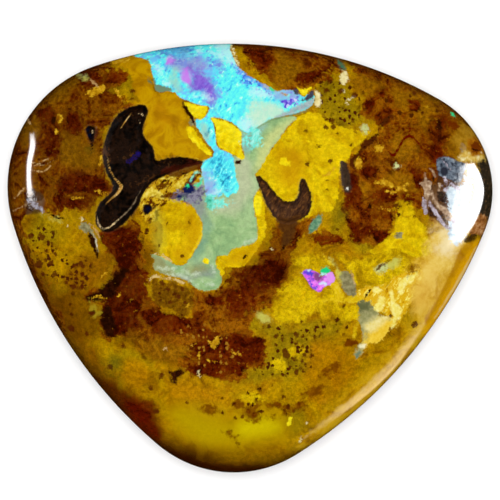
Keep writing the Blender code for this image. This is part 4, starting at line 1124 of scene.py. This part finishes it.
colour = paint(colour, "smudges", tints(FINE[0], (82, 32, 0), (108, 52, 0), (136, 80, 2)),
    patch(3.3, -5.9, 4.05, -5.05, 4.45, -5.05, 4.55, -5.5, 3.5, -6.1),
    patch(2.3, -6.75, 3.4, -6.3, 3.6, -6.5, 3.3, -6.95),
    patch(1.95, -7.6, 2.2, -7.2, 2.75, -7.3, 2.05, -7.8),
    patch(-2.4, -7.5, -1.75, -7.3, -1.7, -7.55, -2, -7.7),
    patch(-0.95, -7.3, -0.5, -6.95, -0.2, -7.3, 0.3, -7.2, 0.6, -6.85, 0.4, -7.5, 0.4, -7.95,
        -0.1, -7.95, -0.3, -7.6),
    patch(-1.35, -8.8, -1, -8.6, -0.7, -8.9, -0.9, -9.1),
    streak(0.95, -7.4, 0.05, 1.2, -7.3, 0.12, 1.45, -7.25, 0.05),
    streak(1, -7.95, 0.04, 1.15, -7.9, 0.12, 1.3, -7.75, 0.04),
    streak(1.75, -7.4, 0.05, 1.8, -7.8, 0.08),
    dots(8.05, -0.55, 0.2), soft=0.14, wander=0.22, by=BROKEN, strength=0.85)
colour = paint(colour, "dark_strokes", (64, 22, 0),
    streak(-0.1, -7.5, 0.02, 0.2, -7.2, 0.045, 0.5, -6.95, 0.02),
    streak(0.15, -7.7, 0.01, 0.62, -7.55, 0.03),
    streak(-0.35, -7, 0.02, 0.4, -6.75, 0.01),
    streak(0.35, -6.55, 0.02, 0.5, -6.5, 0.05, 0.7, -6.55, 0.02),
    streak(-0.9, -7.35, 0.02, -0.75, -7.2, 0.05),
    streak(1.55, -7.5, 0.02, 1.75, -7.6, 0.05, 1.8, -7.85, 0.02),
    streak(2.2, -7.55, 0.02, 2.4, -7.55, 0.04), soft=0.04, wander=0.06)
colour = paint(colour, "moss_stain", (60, 66, 12),
    dots(-6.7, -5.2, 0.3, 4.6, 2.2, 0.25, -8, 5.4, 0.15), soft=0.25, wander=0.1, strength=0.5)


# ------------------------------------------------------------------------------
# The hollows
# Natural voids in the ironstone that the cutter left open: a winged one, a forked one lined with
# chocolate-brown clay, a shallow slot and two pits. The wheel has rounded their lips; their floors
# are rough and unpolished.
# ------------------------------------------------------------------------------
winged = patch(-5.45, 7.62, -5.08, 7.3, -5.3, 6.6, -5.3, 6.1, -4.85, 5.5, -4.65, 4.85, -4.1, 4.95,
    -3.3, 5, -2.35, 4.75, -3.2, 4.5, -4.1, 4.15, -4.85, 3.75, -5.3, 3.2, -5.6, 2.5, -6.3, 1.7,
    -7.1, 1.28, -7.65, 1.75, -7.5, 2.65, -6.78, 3.45, -7.15, 4.3, -7.3, 5.2, -7.05, 6.3, -6.5, 7.2)
forked = patch(0.3, 4.02, 0.68, 3.92, 1.25, 3.25, 1.65, 2.85, 2.1, 2.82, 2.4, 3.15, 2.45, 3.75,
    2.68, 3.92, 2.95, 3.4, 3.07, 2.8, 2.85, 2.15, 2.1, 1.8, 1.45, 1.85, 0.95, 2.4, 0.6, 3.2)
slot = patch(4.5, 4.8, 4.8, 4.7, 4.95, 4.1, 5, 3.4, 4.75, 3.25, 4.58, 3.6, 4.5, 4.2)
pits = np.maximum(patch(-8.15, 6.45, -7.75, 6.55, -7.72, 6.1, -7.95, 5.8),
    patch(-5.3, 2.6, -4.95, 2.62, -4.9, 2.35, -5.2, 2.15))


# Each hollow is sunk by its depth, with a wall that slopes down over its own width from just
# outside the outline. The floor goes up and down by a share of the depth.
LIP = 0.04
FLOOR_SHARE = 0.12
bumpy = np.sin(X * 9.1 + np.sin(Y * 5.3) * 1.7) * np.sin(Y * 8.3 + np.sin(X * 6.1) * 1.4)
for hollow, depth, wall in ((winged, 0.5, 0.3), (forked, 0.34, 0.22), (slot, 0.14, 0.18),
                            (pits, 0.36, 0.16)):
    share = np.clip((hollow + LIP) / wall, 0, 1)
    sunk = share * share * (3 - 2 * share) * depth * (1 + FLOOR_SHARE * bumpy)
    place[on_face, 2] -= sunk[on_face]

pit_distance = field("winged", winged, pits)
pit_edge = ragged(pit_distance, 0.04, CRISP)
# The floors of the winged hollow and the pits: dark ironstone, made near-black with painted shade.
shaded_pit_floor = tints(calculate("MULTIPLY_ADD", FINE[1], 0.5, FLOW[1]), (3, 1, 0), (12, 5, 1),
    (36, 18, 6), (8, 3, 1), (72, 42, 16), spread=(0.62, 0.92))
shaded_pit_floor = paint(shaded_pit_floor, "pit_blue", (18, 8, 104),
    streak(-6.1, 4.6, 0.02, -5.98, 4.78, 0.09),
    streak(-5.9, 5, 0.08, -5.7, 5, 0.06),
    streak(-5.72, 5.12, 0.05, -5.55, 5.18, 0.07), soft=0.07, wander=0.14, by=BROKEN, strength=0.9)
shaded_pit_floor = paint(shaded_pit_floor, "pit_teal", (4, 14, 44),
    dots(-5.1, 2.42, 0.14, -8.05, 6.35, 0.1, -7.95, 6.05, 0.1), soft=0.1, wander=0.1)
shaded_pit_floor = paint(shaded_pit_floor, "pit_red", (74, 22, 6),
    streak(-4.3, 4.25, 0.05, -3.7, 4.45, 0.16, -3, 4.65, 0.14, -2.5, 4.68, 0.05),
    soft=0.12, wander=0.14, by=BROKEN, strength=0.85)
colour = blend(colour, shaded_pit_floor, between(pit_edge, -0.05, 0.03))
colour = paint(colour, "pit_tail", (24, 10, 6),
    streak(-7.85, 5.85, 0.06, -7.85, 5.5, 0.06, -7.92, 5.2, 0.02), soft=0.04)
fork_edge = ragged(field("forked", forked), 0.05, CRISP)
chocolate = tints(STROKES[2], (30, 14, 6), (58, 34, 18), (82, 50, 24), (120, 74, 30),
    spread=(0.34, 0.66))
chocolate = shade(chocolate, slide(0.55, 1.1, fork_edge, 0.0, 0.2))
colour = blend(colour, chocolate, between(fork_edge, -0.03, 0.03))
colour = paint(colour, "fork_stem", tints(FINE[2], (60, 32, 10), (96, 56, 16)),
    patch(1.3, 2, 1.9, 1.95, 2.5, 2.1, 2.15, 1.1, 1.85, 0.7, 1.6, 0.8, 1.5, 1.3),
    soft=0.1, wander=0.14, by=BROKEN)
slot_edge = ragged(field("slot", slot), 0.06, CRISP)
colour = blend(colour, tints(FINE[0], (34, 22, 12), (72, 52, 34)), between(slot_edge, -0.05, 0.05))
# A painted sparkle of light on the slot.
colour = paint(colour, "painted_slot_sparkle", (240, 236, 220), dots(4.83, 3.42, 0.07), soft=0.03)

# Painted glints of gold and cream on the lips, where the polish rides down into a hollow.
colour = paint(colour, "painted_lip_glints", tints(FINE[2], (150, 96, 24), (204, 154, 66), (236, 204, 140)),
    streak(-7.08, 5, 0.02, -7.03, 4.6, 0.04, -6.88, 4.2, 0.045, -6.6, 3.82, 0.05, -6.4, 3.55, 0.08,
        -6.6, 3.2, 0.06, -6.9, 2.95, 0.04, -7.2, 2.65, 0.01),
    streak(-6.45, 6.4, 0.01, -6.2, 6.8, 0.025, -5.9, 7.2, 0.01), soft=0.03, wander=0.015)
colour = paint(colour, "painted_lip_highlights", (238, 206, 150),
    streak(-7.6, 2.1, 0.01, -7.55, 1.75, 0.035, -7.3, 1.45, 0.045, -6.95, 1.55, 0.03,
        -6.5, 1.95, 0.02),
    streak(-5.55, 7.2, 0.02, -5.4, 7.15, 0.05, -5.28, 7.05, 0.02),
    streak(-5.52, 6.9, 0.01, -5.48, 6.75, 0.04),
    streak(-7.95, 6.42, 0.02, -7.86, 6.32, 0.05, -7.84, 6.2, 0.02),
    dots(-6.48, 3.42, 0.06), soft=0.025, wander=0.03)
colour = paint(colour, "painted_lip_sheen", (132, 112, 84),
    streak(-6.5, 1.95, 0.02, -6.1, 2.3, 0.03, -5.75, 2.75, 0.035, -5.45, 3.3, 0.025,
        -5.2, 3.6, 0.01), soft=0.025, wander=0.03)
hollow_edge = calculate("MAXIMUM", calculate("MAXIMUM", fork_edge, slot_edge), pit_edge)
dull = between(hollow_edge, -0.26, -0.14)
in_hollow = between(hollow_edge, -0.14, -0.04)


# ------------------------------------------------------------------------------
# The crazed corner
# Along the right edge the ironstone is full of healed cracks that never took a full polish:
# shards of grey-lilac, brown and tan that break up the shine. The left edge has a little of it too.
# Its pale glaze and some grey-lilac are painted sheen; the dark rim band is a painted reflection.
# ------------------------------------------------------------------------------
crazed = patch(10.6, 4.6, 10.5, 4, 10.4, 3.2, 10.2, 2.4, 10.1, 1.6, 9.7, 1.5, 9.3, 1.9, 8.9, 2.1,
    8.6, 2.2, 8.55, 2.8, 8.75, 3.2, 8.5, 3.7, 8.8, 4, 9.2, 3.7, 9.3, 4.3, 9.4, 4.95, 9.9, 4.95)
crazed_left = patch(-11.15, 2.2, -10.6, 2.25, -10.25, 2.6, -10.3, 3.1, -10.7, 3.4, -11.2, 3.2)
crazed_distance = field("crazed", crazed, crazed_left)
crazed_mask = between(ragged(crazed_distance, 0.12, CLOUDY), -0.08, 0.1)
colour = blend(colour,
    tints(LARGE_FIRE[1], (46, 24, 6), (84, 58, 34), (112, 84, 58), (60, 36, 16),
        spread=(0.05, 0.95)), calculate("MULTIPLY", crazed_mask, 0.8))
# A painted dark reflection along the steep rim outside the window's highlight.
colour = paint(colour, "painted_dark_reflection", tints(FINE[2], (26, 20, 10), (50, 42, 28), (92, 66, 40)),
    patch(11.3, 4.85, 12, 5, 12.4, 3.6, 12.3, 2, 11.8, 1.9, 11.35, 2.2, 11.5, 2.8, 11.4, 4.4),
    soft=0.06, wander=0.08)
colour = paint(colour, "shard_slate",
    tints(calculate("MULTIPLY_ADD", SMALL_FIRE[2], 0.3, FINE[0]), (34, 38, 50), (82, 92, 106),
        (118, 130, 142), (152, 160, 168), spread=(0.4, 1.0)),
    patch(9.35, 4.95, 9.7, 5.02, 10.2, 4.9, 10.75, 4.65, 10.6, 4.2, 10.5, 3.8, 10.1, 3.85,
        9.4, 4.15, 9.28, 4.6),
    patch(10.45, 5.7, 10.7, 5.65, 10.75, 5.35, 10.5, 5.3), soft=0.04, wander=0.05)
colour = paint(colour, "shard_dark", (38, 40, 52),
    patch(9.5, 4.45, 9.75, 4.55, 9.85, 4.3, 9.7, 4.1, 9.5, 4.2),
    streak(10, 4.75, 0.03, 10.15, 4.6, 0.06),
    streak(10.1, 4.2, 0.04, 10.3, 4.15, 0.07),
    streak(10.1, 3.85, 0.04, 10.35, 3.8, 0.07, 10.5, 3.55, 0.03), soft=0.05, wander=0.06)
# A painted sheen of the window's light over the pale shards beside its highlight.
colour = paint(colour, "painted_window_sheen",
    tints(FINE[1], (168, 192, 208), (206, 222, 232), (232, 240, 246)),
    patch(9.75, 3.45, 10.5, 3.6, 10.8, 4.2, 11, 4.4, 10.9, 2, 10.4, 0.7, 9.9, 1.1, 9.85, 2.5),
    soft=0.08, wander=0.16)
# Grey-lilac shards, their paleness partly a painted sheen of the window caught in the cracks.
colour = paint(colour, "lilac_shards_and_sheen",
    tints(FINE[0], (126, 112, 116), (168, 154, 164), (222, 214, 228)),
    streak(8.62, 2.95, 0.06, 8.66, 2.6, 0.11, 8.75, 2.25, 0.07),
    streak(8.9, 2.75, 0.07, 9.5, 1.85, 0.09, 9.85, 1.52, 0.05, 10.05, 1.5, 0.04),
    streak(9.55, 4.95, 0.03, 9.95, 4.4, 0.04),
    streak(9.65, 4, 0.04, 9.75, 3.7, 0.06, 9.8, 3.4, 0.04),
    streak(9.95, 3.75, 0.03, 10.2, 3.55, 0.08, 10.45, 3.4, 0.05),
    streak(9.55, 3.6, 0.02, 9.7, 3.4, 0.04, 9.75, 3.2, 0.02),
    patch(10, 1.95, 10.15, 1.95, 10.25, 1.75, 10.05, 1.7), soft=0.04, wander=0.06)
colour = paint(colour, "shard_tan", tints(FINE[1], (128, 96, 70), (174, 142, 110), (222, 200, 170)),
    patch(8.4, 3.75, 8.6, 3.75, 8.7, 4.2, 8.8, 3.85, 9, 3.8, 9, 3.5, 8.8, 2.9, 8.65, 3.1,
        8.65, 3.4),
    streak(9.05, 3.3, 0.05, 9.15, 2.95, 0.07, 9.35, 2.6, 0.1, 9.7, 2.35, 0.14, 10, 2.05, 0.1),
    streak(9.4, 3.7, 0.04, 9.42, 3.5, 0.06, 9.38, 3.35, 0.03),
    streak(8.9, 4.5, 0.02, 9.1, 4.3, 0.05, 9.2, 4, 0.02),
    streak(9.7, 2, 0.04, 9.9, 1.9, 0.06), soft=0.04, wander=0.05)
colour = paint(colour, "corner_amber", tints(FINE[1], (150, 104, 10), (188, 142, 34)),
    patch(10.1, 6, 10.6, 6.5, 11.2, 6.4, 11.5, 5.9, 11.2, 5.4, 10.5, 5.3),
    soft=0.2, wander=0.15, by=CLOUDY, strength=0.8)
colour = paint(colour, "corner_yellow",
    tints(FINE[1], (186, 138, 26), (222, 184, 76), (240, 216, 134)),
    patch(10.3, 4.9, 10.6, 5.25, 11, 5.35, 11.6, 5.2, 11.75, 4.9, 10.7, 4.75),
    soft=0.12, wander=0.12, by=BROKEN, strength=0.9)
colour = paint(colour, "corner_orange", tints(FINE[2], (140, 78, 4), (184, 118, 14)),
    patch(10.85, 5.85, 11.2, 6, 11.6, 5.7, 11.65, 5.2, 11.2, 5.1, 10.9, 5.3), soft=0.1, wander=0.1)
colour = paint(colour, "corner_oval", (104, 36, 0),
    patch(11.05, 5.75, 11.3, 5.85, 11.5, 5.6, 11.5, 5.3, 11.2, 5.25, 11, 5.5),
    patch(9.8, 6.9, 10.2, 6.8, 10.45, 6.5, 10.1, 6.4, 9.85, 6.6),
    soft=0.08, wander=0.1, strength=0.9)
colour = paint(colour, "shard_orange",
    tints(FINE[0], (104, 54, 14), (168, 108, 52), (206, 160, 108)),
    patch(11, 1.3, 11.2, 1.9, 11.5, 2.2, 11.85, 2, 11.7, 1.4, 11.3, 1.1),
    soft=0.06, wander=0.12, by=BROKEN)
colour = paint(colour, "shard_cracks", (26, 10, 4),
    streak(9.35, 2.42, 0.02, 9.55, 2.1, 0.06, 9.78, 1.7, 0.04),
    streak(8.88, 2.5, 0.02, 8.98, 2.3, 0.06, 9, 2.15, 0.04),
    streak(9.1, 4, 0.03, 9.15, 3.8, 0.06, 9.2, 3.6, 0.03),
    patch(9.3, 3.25, 9.7, 3.25, 9.8, 2.9, 9.55, 2.75, 9.35, 2.9),
    patch(10.6, 0.85, 10.9, 1.15, 11.25, 1.2, 11.3, 0.95, 11.1, 0.8, 10.8, 0.75),
    streak(10.9, 5.45, 0.01, 11.4, 5.35, 0.03), soft=0.04, wander=0.06, strength=0.85)
colour = paint(colour, "cream_specks", cream_clay,
    streak(10.4, 5, 0.03, 10.6, 4.95, 0.08, 10.8, 5, 0.02),
    dots(11, 4.85, 0.07, 11.35, 5, 0.08, 10.9, 5.25, 0.05, 11.5, 5.25, 0.05),
    soft=0.05, wander=0.08, strength=0.9)
# A painted sheen below the slit of light on the left, broken up by the crazing.
colour = paint(colour, "painted_sheen_left", tints(FINE[2], (70, 50, 40), (150, 146, 160), (206, 206, 220)),
    streak(-11.05, 2.9, 0.05, -10.8, 2.7, 0.12, -10.5, 2.5, 0.1, -10.3, 2.3, 0.03),
    soft=0.06, wander=0.12, strength=0.8)


# ------------------------------------------------------------------------------
# The girdle and the back
# The same ironstone runs through the whole thickness, and the flat back is left with the fine
# ground finish the lap gives it.
# ------------------------------------------------------------------------------
height = add("SeparateXYZ", MILLIMETRES).outputs[2]
colour = paint(colour, "honey_strip", tints(FLOW[1], (168, 108, 0), (194, 138, 0), (206, 152, 8)),
    patch(11.4, 0.75, 10.75, 0.72, 10.35, 0.2, 10, -0.7, 9.2, -2.2, 8.7, -3, 9, -3.4, 10.2, -1.9,
        11.6, 0.2), soft=0.08, wander=0.04, strength=0.9)
# Painted light along the right and lower right rim: a glow in the honey and two cream highlights.
colour = paint(colour, "painted_rim_glow", (250, 184, 6),
    streak(11.4, 0.75, 0.2, 10.95, -0.2, 0.3, 9.6, -2.55, 0.25, 8.8, -3.7, 0.2),
    soft=0.2, wander=0.06, strength=0.8)
colour = paint(colour, "painted_edge_highlight", (240, 204, 124),
    streak(2.6, -9.05, 0.03, 4.6, -7.5, 0.13, 5.6, -6.6, 0.06, 7.9, -4.3, 0.07, 8.7, -3.3, 0.04),
    soft=0.12, wander=0.1, by=BROKEN, strength=0.4)
colour = paint(colour, "painted_rim_highlight", (255, 226, 150),
    streak(11.3, 0.6, 0.01, 10.4, -1.1, 0.06, 9.2, -3, 0.01), soft=0.06, wander=0.03, strength=0.7)
side_colour = blend(honey, brown,
    between(calculate("MULTIPLY_ADD", FLOW[1], 0.8, COARSE[0]), 0.78, 1.02))
side_colour = mottle(side_colour, (FINE[1], 0.7, 1.1), (MIDDLE[0], 0.66, 1.0))
on_side = between(calculate("MULTIPLY_ADD", FLOW[2], 1.0, height), 2.45, 1.75, 0.88)
colour = blend(colour, side_colour, on_side)
back_colour = tints(MIDDLE[0], (70, 38, 14), (92, 54, 20), (118, 76, 30), spread=(0.3, 0.7))
back_colour = blend(back_colour, linear(140, 100, 34), between(COARSE[2], 0.55, 0.62))
back_colour = blend(back_colour, linear(46, 24, 10), between(FINE[1], 0.6, 0.68, 0.8))
on_back = between(calculate("MULTIPLY_ADD", MIDDLE[1], 0.5, height), 1.05, 0.65)
colour = blend(colour, back_colour, on_back)


# ------------------------------------------------------------------------------
# The polish
# A wet-looking cerium-oxide polish on the face, with the faint unevenness of a hand-worked dome.
# ------------------------------------------------------------------------------
# Glossy on the face, matt in the hollows, a little dull over the cracks, ground on the back.
roughness = slide(0.07, 0.6, in_hollow)
roughness = slide(roughness, 0.14, crazed_mask)
roughness = slide(roughness, 0.42, on_back)

# How far the cracks, the floors of the pits and the ground back stand out, in mm.
rise = calculate("MAXIMUM", between(crazed_distance, -0.1, 0.2, 0.012),
    between(pit_distance, -0.1, 0.0, 0.03))
rise = calculate("MAXIMUM", rise, between(height, 1.0, 0.7, 0.03))
bump = add("Bump")
bump.inputs["Strength"].default_value = 1.0
bump.inputs["Distance"].default_value = MM
scratches = grain(4.5, detail=2.0, roughness=0.5)[0]
for value, socket in ((calculate("MULTIPLY", scratches, rise), bump.inputs["Height"]),
                      (colour, shader.inputs["Base Color"]),
                      (roughness, shader.inputs["Roughness"]),
                      (slide(0.5, 0.05, dull), shader.inputs["Specular IOR Level"]),
                      (bump.outputs["Normal"], shader.inputs["Normal"])):
    tree.links.new(value, socket)
shader.inputs["IOR"].default_value = 1.5


def into_scene(name, data):
    """An object of this data, in the scene."""
    made = bpy.data.objects.new(name, data)
    bpy.context.scene.collection.objects.link(made)
    return made


# A hand-worked dome is never quite true.
unevenness = 0.012 * np.sin(X * 0.9 + 1.3) * np.sin(Y * 0.8 + 0.4)
unevenness += 0.006 * np.sin(X * 2.1 + Y * 1.4)
place[on_face, 2] += (unevenness * np.clip(1 - np.hypot(X, Y) / 12, 0, 1))[on_face]
mesh.vertices.foreach_set("co", (place * MM).ravel())
mesh.polygons.foreach_set("use_smooth", np.ones(len(mesh.polygons), bool))
mesh.materials.append(finish)
mesh.update()
mesh.set_sharp_from_angle(angle=math.radians(50))
stone = into_scene("polished_stone", mesh)
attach(stone, "root")
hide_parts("stone")


# ------------------------------------------------------------------------------
# The table and the lights
# The stone lies face up on white card under soft light, with a tall window to its right, a slit
# of light to its left and a low glow from the lower right.
# ------------------------------------------------------------------------------
square_card = bmesh.new()
bmesh.ops.create_grid(square_card, x_segments=1, y_segments=1, size=0.6)
card = bpy.data.meshes.new("card")
square_card.to_mesh(card)
square_card.free()
table = into_scene("card", card)
paper = bpy.data.materials.new("white_card")
paper.use_nodes = True
for name, value in (("Base Color", (0.93, 0.93, 0.93, 1.0)), ("Roughness", 0.9),
                    ("Specular IOR Level", 0.0)):
    paper.node_tree.nodes["Principled BSDF"].inputs[name].default_value = value
card.materials.append(paper)
table.visible_glossy = False

surroundings = bpy.data.worlds.new("studio")
surroundings.use_nodes = True
surroundings.node_tree.nodes["Background"].inputs["Color"].default_value = (1.0, 1.0, 1.0, 1.0)
surroundings.node_tree.nodes["Background"].inputs["Strength"].default_value = 0.5
surroundings.cycles_visibility.glossy = False
bpy.context.scene.world = surroundings

soft_light = bpy.data.lights.new("overhead", "AREA")
soft_light.shape = "RECTANGLE"
soft_light.size = soft_light.size_y = 0.7
soft_light.energy = 4.4
overhead = into_scene("overhead", soft_light)
overhead.location = (-0.02, 0.04, 0.5)
overhead.rotation_euler = (-overhead.location).to_track_quat("-Z", "Y").to_euler()
overhead.visible_glossy = False
overhead.visible_camera = False

# The other lights are luminous sheets that only the polish shows.
SHEET_DISTANCE = 0.3


def seen_in(x, y):
    """The place on a sheet that the polished dome shows at this point of its face."""
    step = 0.02
    around = dome(np.array([x + step, x - step, x, x, x]), np.array([y, y, y + step, y - step, y]))
    normal = Vector((around[1] - around[0], around[3] - around[2], 2 * step)).normalized()
    towards = 2 * normal.z * normal - Vector((0, 0, 1))
    return Vector((x, y, around[4])) * MM + towards * SHEET_DISTANCE


def ribbon(name, *lines, tint=(1, 1, 1)):
    """A sheet curved so that the polish shows it through lines of x, y and brightness."""
    lines = [curve_through(np.reshape(line, (-1, 3)), closed=False) for line in lines]
    curved = bmesh.new()
    bmesh.ops.create_grid(curved, x_segments=len(lines[0]) - 1, y_segments=len(lines) - 1)
    points = [point for line in lines for point in line]
    for vert, (x, y, _) in zip(curved.verts, points):
        vert.co = seen_in(x, y)
    sheet = bpy.data.meshes.new(name)
    curved.to_mesh(sheet)
    curved.free()
    brightness = sheet.attributes.new("brightness", "FLOAT", "POINT")
    brightness.data.foreach_set("value", [max(0, point[2]) for point in points])
    glow = bpy.data.materials.new(name)
    glow.use_nodes = True
    nodes, links = glow.node_tree.nodes, glow.node_tree.links
    emission = nodes["Principled BSDF"].inputs
    emission["Base Color"].default_value = (0, 0, 0, 1)
    emission["Specular IOR Level"].default_value = 0.0
    emission["Emission Color"].default_value = (*tint, 1)
    level = nodes.new("ShaderNodeAttribute")
    level.attribute_name = "brightness"
    links.new(level.outputs["Fac"], emission["Emission Strength"])
    sheet.materials.append(glow)
    made = into_scene(name, sheet)
    made.visible_diffuse = made.visible_camera = made.visible_shadow = False


ribbon("window_right",
    (10.72, 4.78, 0, 10.4, 4.1, 0, 10.1, 3.4, 0, 9.9, 2.6, 0, 10, 1.8, 0, 10, 0.95, 0),
    (10.85, 4.7, 30, 10.6, 4.1, 8, 10.4, 3.4, 8, 10.2, 2.6, 8, 10.2, 1.8, 12, 10.22, 1.02, 12),
    (11.12, 4.7, 40, 11.45, 4.1, 40, 11.62, 3.4, 40, 11.48, 2.6, 40, 11.15, 1.8, 40,
        10.65, 1.08, 20),
    (11.17, 4.8, 0, 11.52, 4.15, 0, 11.68, 3.4, 0, 11.55, 2.55, 0, 11.23, 1.75, 0, 10.7, 0.92, 0))
ribbon("glow_lower_right",
    (9.5, -0.6, 0, 8.85, -2, 0, 8.15, -3.35, 0, 7.15, -4.8, 0, 6.1, -5.95, 0, 4.9, -7.05, 0,
        3.7, -8, 0),
    (9.75, -0.7, 0.5, 9.05, -2.15, 1.2, 8.33, -3.5, 1.5, 7.32, -4.97, 4, 6.26, -6.12, 4,
        5.02, -7.2, 4, 3.8, -8.13, 1.2),
    (9.9, -0.8, 1, 9.2, -2.25, 1.6, 8.47, -3.6, 2.4, 7.45, -5.1, 5.2, 6.38, -6.25, 5.4,
        5.12, -7.32, 5.2, 3.88, -8.22, 1.4),
    (9.98, -0.85, 0, 9.28, -2.3, 0, 8.54, -3.66, 0, 7.52, -5.17, 0, 6.44, -6.32, 0, 5.18, -7.38, 0,
        3.94, -8.28, 0),
    tint=(1.0, 0.82, 0.46))
ribbon("slit_left",
    (-11, 6.3, 0, -11, 5.6, 0, -11.15, 4.8, 0, -11.17, 4, 0, -11.15, 2.9, 0),
    (-10.93, 6.2, 10, -10.93, 5.6, 30, -11.07, 4.8, 30, -11.1, 4, 30, -11.08, 3, 20),
    (-10.82, 6.2, 10, -10.76, 5.6, 30, -10.93, 4.8, 30, -10.98, 4, 30, -10.85, 3, 20),
    (-10.76, 6.3, 0, -10.7, 5.6, 0, -10.87, 4.8, 0, -10.92, 4, 0, -10.78, 2.9, 0))

camera = bpy.data.cameras.new("camera")
camera.lens = 800
camera.sensor_width = 36
camera.clip_start = 0.01
camera.clip_end = 5
eye = into_scene("camera", camera)
eye.location = (0, 0.4 * MM, 0.556)
bpy.context.scene.camera = eye
bpy.context.scene.view_settings.view_transform = "Standard"
